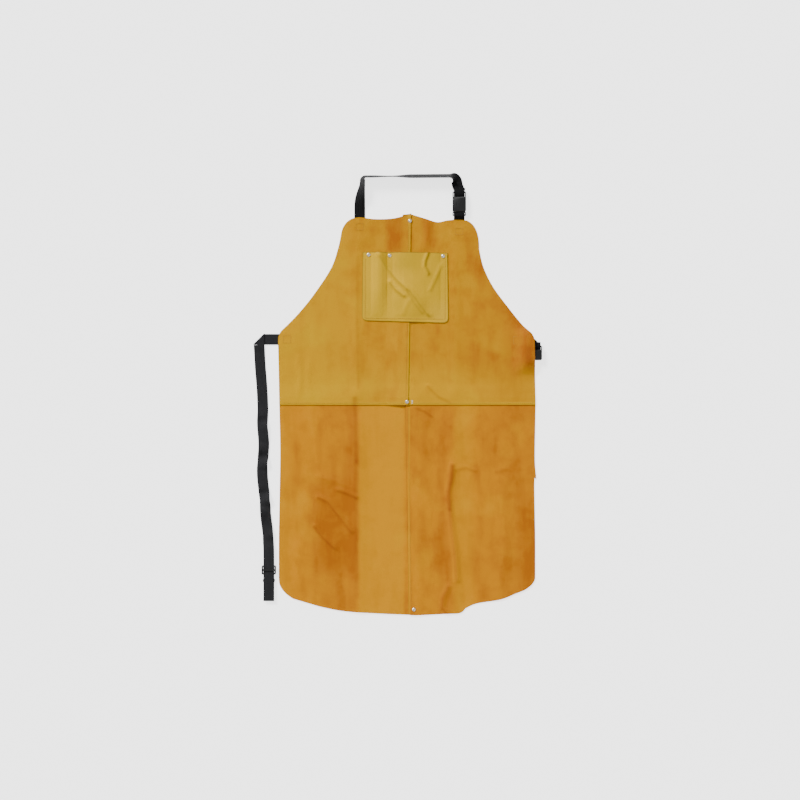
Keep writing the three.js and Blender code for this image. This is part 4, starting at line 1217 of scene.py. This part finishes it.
class APRON_OT_waist_strap(bpy.types.Operator):
    """Weave the waist strap: its root, the slanted fold, and the long run with its free end"""

    bl_idname = "apron.waist_strap"
    bl_label = "Waist strap"

    def execute(self, context):
        _, sewn_high = corners("waist_strap_sewn_end")
        stub_low, stub_high = corners("waist_strap_stub")
        low, _ = corners("waist_strap")
        y = (stub_low.y + stub_high.y) / 2
        fold = joint_point("waist_strap_swing")
        turn = stub_low.x + HALF_WEB
        split = fold.x - 11 * MM
        flat = [sewn_high.x, sewn_high.x - 16 * MM, fold.x + 8 * MM]
        flat += [fold.x + d * MM for d in (4, 3, 2, 1, 0, -1, -2, -3, -4)] + [split]
        points = [Vector((x, y, WEB / 2)) for x in flat]
        rows, ups = follow(points, [Vector((0, 1, 0))] * len(points))
        root, length = band("waist_strap_root", rows, ups, "charcoal_web")
        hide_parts("waist_strap_sewn_end")
        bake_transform(root)

        columns = 25
        shift = [(j / (columns - 1) - 0.5) * 2 * HALF_WEB for j in range(columns)]
        axis, radius = 1.75 * MM, 0.95 * MM
        outward = Vector((-1, 1, 0)).normalized()
        lines = []
        for v in shift:
            start, edge = Vector((split, y + v, WEB / 2)), Vector((turn + v, y + v, WEB / 2))
            column = [(start.lerp(edge, k / 8), Vector((0, 0, -1))) for k in range(8)]
            for k in range(9):
                phase = math.pi * k / 8
                out = outward * math.sin(phase) - Vector((0, 0, math.cos(phase)))
                point = Vector((turn + v, y + v, axis)) + out * radius
                column.append((point, out))
            floor = y - HALF_WEB
            for k in range(1, 7):
                point = Vector((turn + v, y + v + (floor - y - v) * k / 6, axis + radius))
                column.append((point, Vector((0, 0, 1))))
            lines.append(column)
        folded, length = pleated("waist_strap_fold", lines, shift, "charcoal_web")
        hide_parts("waist_strap_stub")
        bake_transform(folded)

        slider = (corners("waist_buckle_male")[0].x + corners("waist_buckle_male")[1].x) / 2
        knots = [(turn, stub_low.y), (turn + 2.5 * MM, 0.090), (turn + 7.5 * MM, 0.020),
                 (turn + 10.5 * MM, -0.090), (turn + 9.5 * MM, -0.180), (turn + 16.5 * MM, -0.240),
                 (slider - 1.5 * MM, -0.310), (slider, -0.345), (slider, low.y)]
        points = denser([Vector((px, py, 0)) for px, py in knots], 4 * MM)
        for point in points:
            down = 1 - smooth(stub_low.y - point.y, 2 * MM, 18 * MM)
            up = smooth(-point.y, 0.300, 0.335)
            point.z = WEB / 2 + 1.9 * MM * down + 5 * MM * up
        ways = []
        for point in points:
            free = smooth(-point.y, 0.0, 0.05) * smooth(point.y, -0.325, -0.29)
            roll = free * (13 * math.sin(point.y / 0.0125) + 6 * math.sin(point.y / 0.0071 + 1))
            ways.append(tilted(Vector((1, 0, 0)), roll))
            point.z += HALF_WEB * abs(math.sin(math.radians(roll))) + free * 0.8 * MM
            point.x += free * (1.3 * MM * math.sin(point.y / 0.017 + 0.7) - 1.0 * MM)
        rows, ups = follow(points, ways)
        run, length = band("waist_strap_run", rows, ups, "charcoal_web")
        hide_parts("waist_strap")
        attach(run, "waist_run")
        return {"FINISHED"}


def pleated(name, lines, shift, finish):
    """A strap given as columns of (point, outward way), for where it folds on a slant."""
    build = bmesh.new()
    uv = build.loops.layers.uv.new("Weave")
    where, outer, inner, lengths = {}, [], [], []
    for v, column in zip(shift, lines):
        over, under, gone = [], [], 0.0
        for k, (point, out) in enumerate(column):
            if k:
                gone += (point - column[k - 1][0]).length
            half = WEB / 2 * (1 - 0.45 * abs(v / HALF_WEB) ** 8)
            for side, line in ((1, over), (-1, under)):
                vert = build.verts.new(point + out * half * side)
                where[vert] = (v, gone)
                line.append(vert)
        outer.append(over)
        inner.append(under)
        lengths.append(gone)
    count = len(outer[0])
    for i in range(len(outer) - 1):
        for k in range(count - 1):
            build.faces.new((outer[i][k], outer[i + 1][k], outer[i + 1][k + 1], outer[i][k + 1]))
            build.faces.new((inner[i][k], inner[i][k + 1], inner[i + 1][k + 1], inner[i + 1][k]))
        for k in (0, count - 1):
            build.faces.new((outer[i][k], inner[i][k], inner[i + 1][k], outer[i + 1][k]))
    for i in (0, -1):
        for k in range(count - 1):
            build.faces.new((outer[i][k], outer[i][k + 1], inner[i][k + 1], inner[i][k]))
    bmesh.ops.dissolve_degenerate(build, dist=1e-7, edges=build.edges)
    bmesh.ops.recalc_face_normals(build, faces=build.faces)
    for face in build.faces:
        for loop in face.loops:
            loop[uv].uv = where.get(loop.vert, (0, 0))
    return place(name, build, finish, 60), sum(lengths) / len(lengths)


class APRON_OT_waist_tab(bpy.types.Operator):
    """Weave the waist tab: sewn end, slanted fold, and loop round the socket's bar"""

    bl_idname = "apron.waist_tab"
    bl_label = "Waist tab"

    def execute(self, context):
        sewn_low, sewn_high = corners("waist_tab_sewn_end")
        female_low, female_high = corners("waist_buckle_female")
        y = (sewn_low.y + sewn_high.y) / 2
        x = (female_low.x + female_high.x) / 2
        fold = joint_point("waist_tab_swing")
        bar = female_high.y - 3.5 * MM
        columns = 25
        shift = [(j / (columns - 1) - 0.5) * 2 * HALF_WEB for j in range(columns)]
        outward = Vector((1, 1, 0)).normalized()
        axis, radius, middle, loop = 1.75 * MM, 0.95 * MM, 6.5 * MM, 2.7 * MM
        low = y - HALF_WEB
        rest = [(low + 3 * MM, axis + radius), (bar + 3.5 * MM, middle - loop), (bar, middle - loop),
                (bar - 5.1 * MM, middle - 1.4 * MM), (bar - 5.2 * MM, middle + 1.2 * MM),
                (bar, middle + loop), (bar + 3.5 * MM, middle + loop),
                (low + 8 * MM, middle + loop - 2.5 * MM)]
        ring = denser([Vector((0, py, pz)) for py, pz in rest], 0.8 * MM)
        lines = []
        for v in shift:
            flat = (sewn_low.x, sewn_low.x + 16 * MM, fold.x - 6 * MM)
            path = [Vector((px, y + v, WEB / 2)) for px in flat]
            path += [Vector((fold.x + d * MM, y + v, WEB / 2)) for d in (-3, -2, -1, 0, 1, 2, 3)]
            edge = Vector((x - v, y + v, WEB / 2))
            last = path[-1].copy()
            path += [last.lerp(edge, k / 5) for k in range(1, 5)]
            outs = [Vector((0, 0, -1))] * len(path)
            for k in range(9):
                phase = math.pi * k / 8
                out = outward * math.sin(phase) - Vector((0, 0, math.cos(phase)))
                path.append(Vector((x - v, y + v, axis)) + out * radius)
                outs.append(out)
            first = path[-1].copy()
            goal = Vector((x - v, ring[0].y, ring[0].z))
            for k in range(1, 5):
                path.append(first.lerp(goal, k / 5))
                outs.append(Vector((0, 0, 1)))
            for k, point in enumerate(ring):
                before, after = ring[max(k - 1, 0)], ring[min(k + 1, len(ring) - 1)]
                along = (after - before).normalized()
                path.append(Vector((x - v, point.y, point.z)))
                outs.append(Vector((0, along.z, -along.y)))
            lines.append(list(zip(path, outs)))
        piece, length = pleated("waist_tab_web", lines, shift, "black_web")
        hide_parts("waist_tab", "waist_tab_sewn_end")
        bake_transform(piece)
        return {"FINISHED"}


class APRON_OT_neck_buckle(bpy.types.Operator):
    """Mould the neck buckle"""

    bl_idname = "apron.neck_buckle"
    bl_label = "Neck buckle"

    def execute(self, context):
        low, high = corners("neck_buckle_female")
        x, top = (low.x + high.x) / 2, high.z
        ribs = [((x + s * 7 * MM, low.y + 8 * MM, top), (x + s * 7 * MM, low.y + 27 * MM, top), 0.6 * MM)
                for s in (-1, 0, 1)]
        moulded("neck_buckle_female_half", "neck_buckle_female", "neck_loop", ribs)
        low, high = corners("neck_buckle_male")
        ribs = [((x - 8 * MM, low.y + y * MM, high.z), (x + 8 * MM, low.y + y * MM, high.z), 0.45 * MM)
                for y in (7.3, 8.6)]
        moulded("neck_male", "neck_buckle_male", "neck_male_half", ribs)
        moulded("neck_arm_left", "neck_buckle_arm_left", "neck_left_arm")
        moulded("neck_arm_right", "neck_buckle_arm_right", "neck_right_arm")
        return {"FINISHED"}


class APRON_OT_waist_buckle(bpy.types.Operator):
    """Mould the waist buckle's two halves"""

    bl_idname = "apron.waist_buckle"
    bl_label = "Waist buckle"

    def execute(self, context):
        moulded("waist_socket", "waist_buckle_female", "waist_tab_and_socket")
        moulded("waist_male", "waist_buckle_male", "waist_male_half")
        moulded("waist_arm_left", "waist_buckle_arm_left", "waist_left_arm")
        moulded("waist_arm_right", "waist_buckle_arm_right", "waist_right_arm")
        return {"FINISHED"}


class APRON_OT_stage(bpy.types.Operator):
    """Set out the floor, the lights and the camera"""

    bl_idname = "apron.stage"
    bl_label = "Stage"

    def execute(self, context):
        scene = context.scene
        build = bmesh.new()
        bmesh.ops.create_grid(build, x_segments=8, y_segments=8, size=40)
        mesh = bpy.data.meshes.new("floor")
        build.to_mesh(mesh)
        build.free()
        floor = bpy.data.objects.new("floor", mesh)
        floor.location.z = -0.0006
        scene.collection.objects.link(floor)
        make = Finish("pale_floor")
        where, _ = make.place()
        paper = make.noise(where, 60.0)
        colour = make.mix(paper, (0.93, 0.93, 0.93), (0.96, 0.96, 0.96))
        material = make.finish(
            colour, paper * 0.1 + 0.8, paper, 0.0001, Emission_Color=(1, 1, 1), Emission_Strength=2.2)
        mesh.materials.append(material)

        world = bpy.data.worlds.new("studio")
        world.use_nodes = True
        background = next(n for n in world.node_tree.nodes if n.type == "BACKGROUND")
        background.inputs[0].default_value = (1, 1, 1, 1)
        background.inputs[1].default_value = 0.42
        scene.world = world
        for name, where, spread, power in (
            ("key", (-0.62, 0.80, 0.66), 18, 4.3), ("fill", (0.7, -0.5, 1.4), 60, 0.35)):
            light = bpy.data.lights.new(name, "SUN")
            light.angle = math.radians(spread)
            light.energy = power
            lamp = bpy.data.objects.new(name, light)
            lamp.location = Vector(where) * 3
            lamp.rotation_euler = (-Vector(where)).to_track_quat("-Z", "Y").to_euler()
            scene.collection.objects.link(lamp)

        lens = bpy.data.cameras.new("camera")
        lens.lens = 85
        lens.sensor_width = 36
        camera = bpy.data.objects.new("camera", lens)
        camera.location = (-0.01725, 0.0115, 4.35)
        scene.collection.objects.link(camera)
        scene.camera = camera
        return {"FINISHED"}


STEPS = (
    APRON_OT_stage, APRON_OT_bib, APRON_OT_skirt, APRON_OT_pocket, APRON_OT_rivets, APRON_OT_stitching,
    APRON_OT_tack, APRON_OT_neck_strap, APRON_OT_neck_tab, APRON_OT_neck_buckle, APRON_OT_waist_strap,
    APRON_OT_waist_tab, APRON_OT_waist_buckle,
)


class APRON_PT_panel(bpy.types.Panel):
    """Lists the steps and the sizes"""

    bl_idname = "APRON_PT_panel"
    bl_label = "Welding apron"
    bl_space_type = "VIEW_3D"
    bl_region_type = "UI"
    bl_category = "Apron"

    def draw(self, context):
        layout = self.layout
        for step in STEPS:
            layout.operator(step.bl_idname)
        for group in ("apron_leather", "apron_sewing", "apron_straps"):
            settings = getattr(context.scene, group)
            box = layout.box()
            for name in settings.__annotations__:
                box.prop(settings, name)


GROUPS = {
    "apron_leather": LeatherSettings,
    "apron_sewing": SewingSettings,
    "apron_straps": StrapSettings,
}


def register():
    """Adds the settings, the steps and the panel."""
    for group in GROUPS.values():
        bpy.utils.register_class(group)
    for step in STEPS:
        bpy.utils.register_class(step)
    bpy.utils.register_class(APRON_PT_panel)
    for name, group in GROUPS.items():
        setattr(bpy.types.Scene, name, PointerProperty(type=group))


def unregister():
    """Takes them away again."""
    for name in GROUPS:
        delattr(bpy.types.Scene, name)
    bpy.utils.unregister_class(APRON_PT_panel)
    for step in reversed(STEPS):
        bpy.utils.unregister_class(step)
    for group in reversed(GROUPS.values()):
        bpy.utils.unregister_class(group)


def main():
    """Makes every piece in order."""
    register()
    for step in STEPS:
        group, name = step.bl_idname.split(".")
        getattr(getattr(bpy.ops, group), name)()


if __name__ == "__main__":
    main()
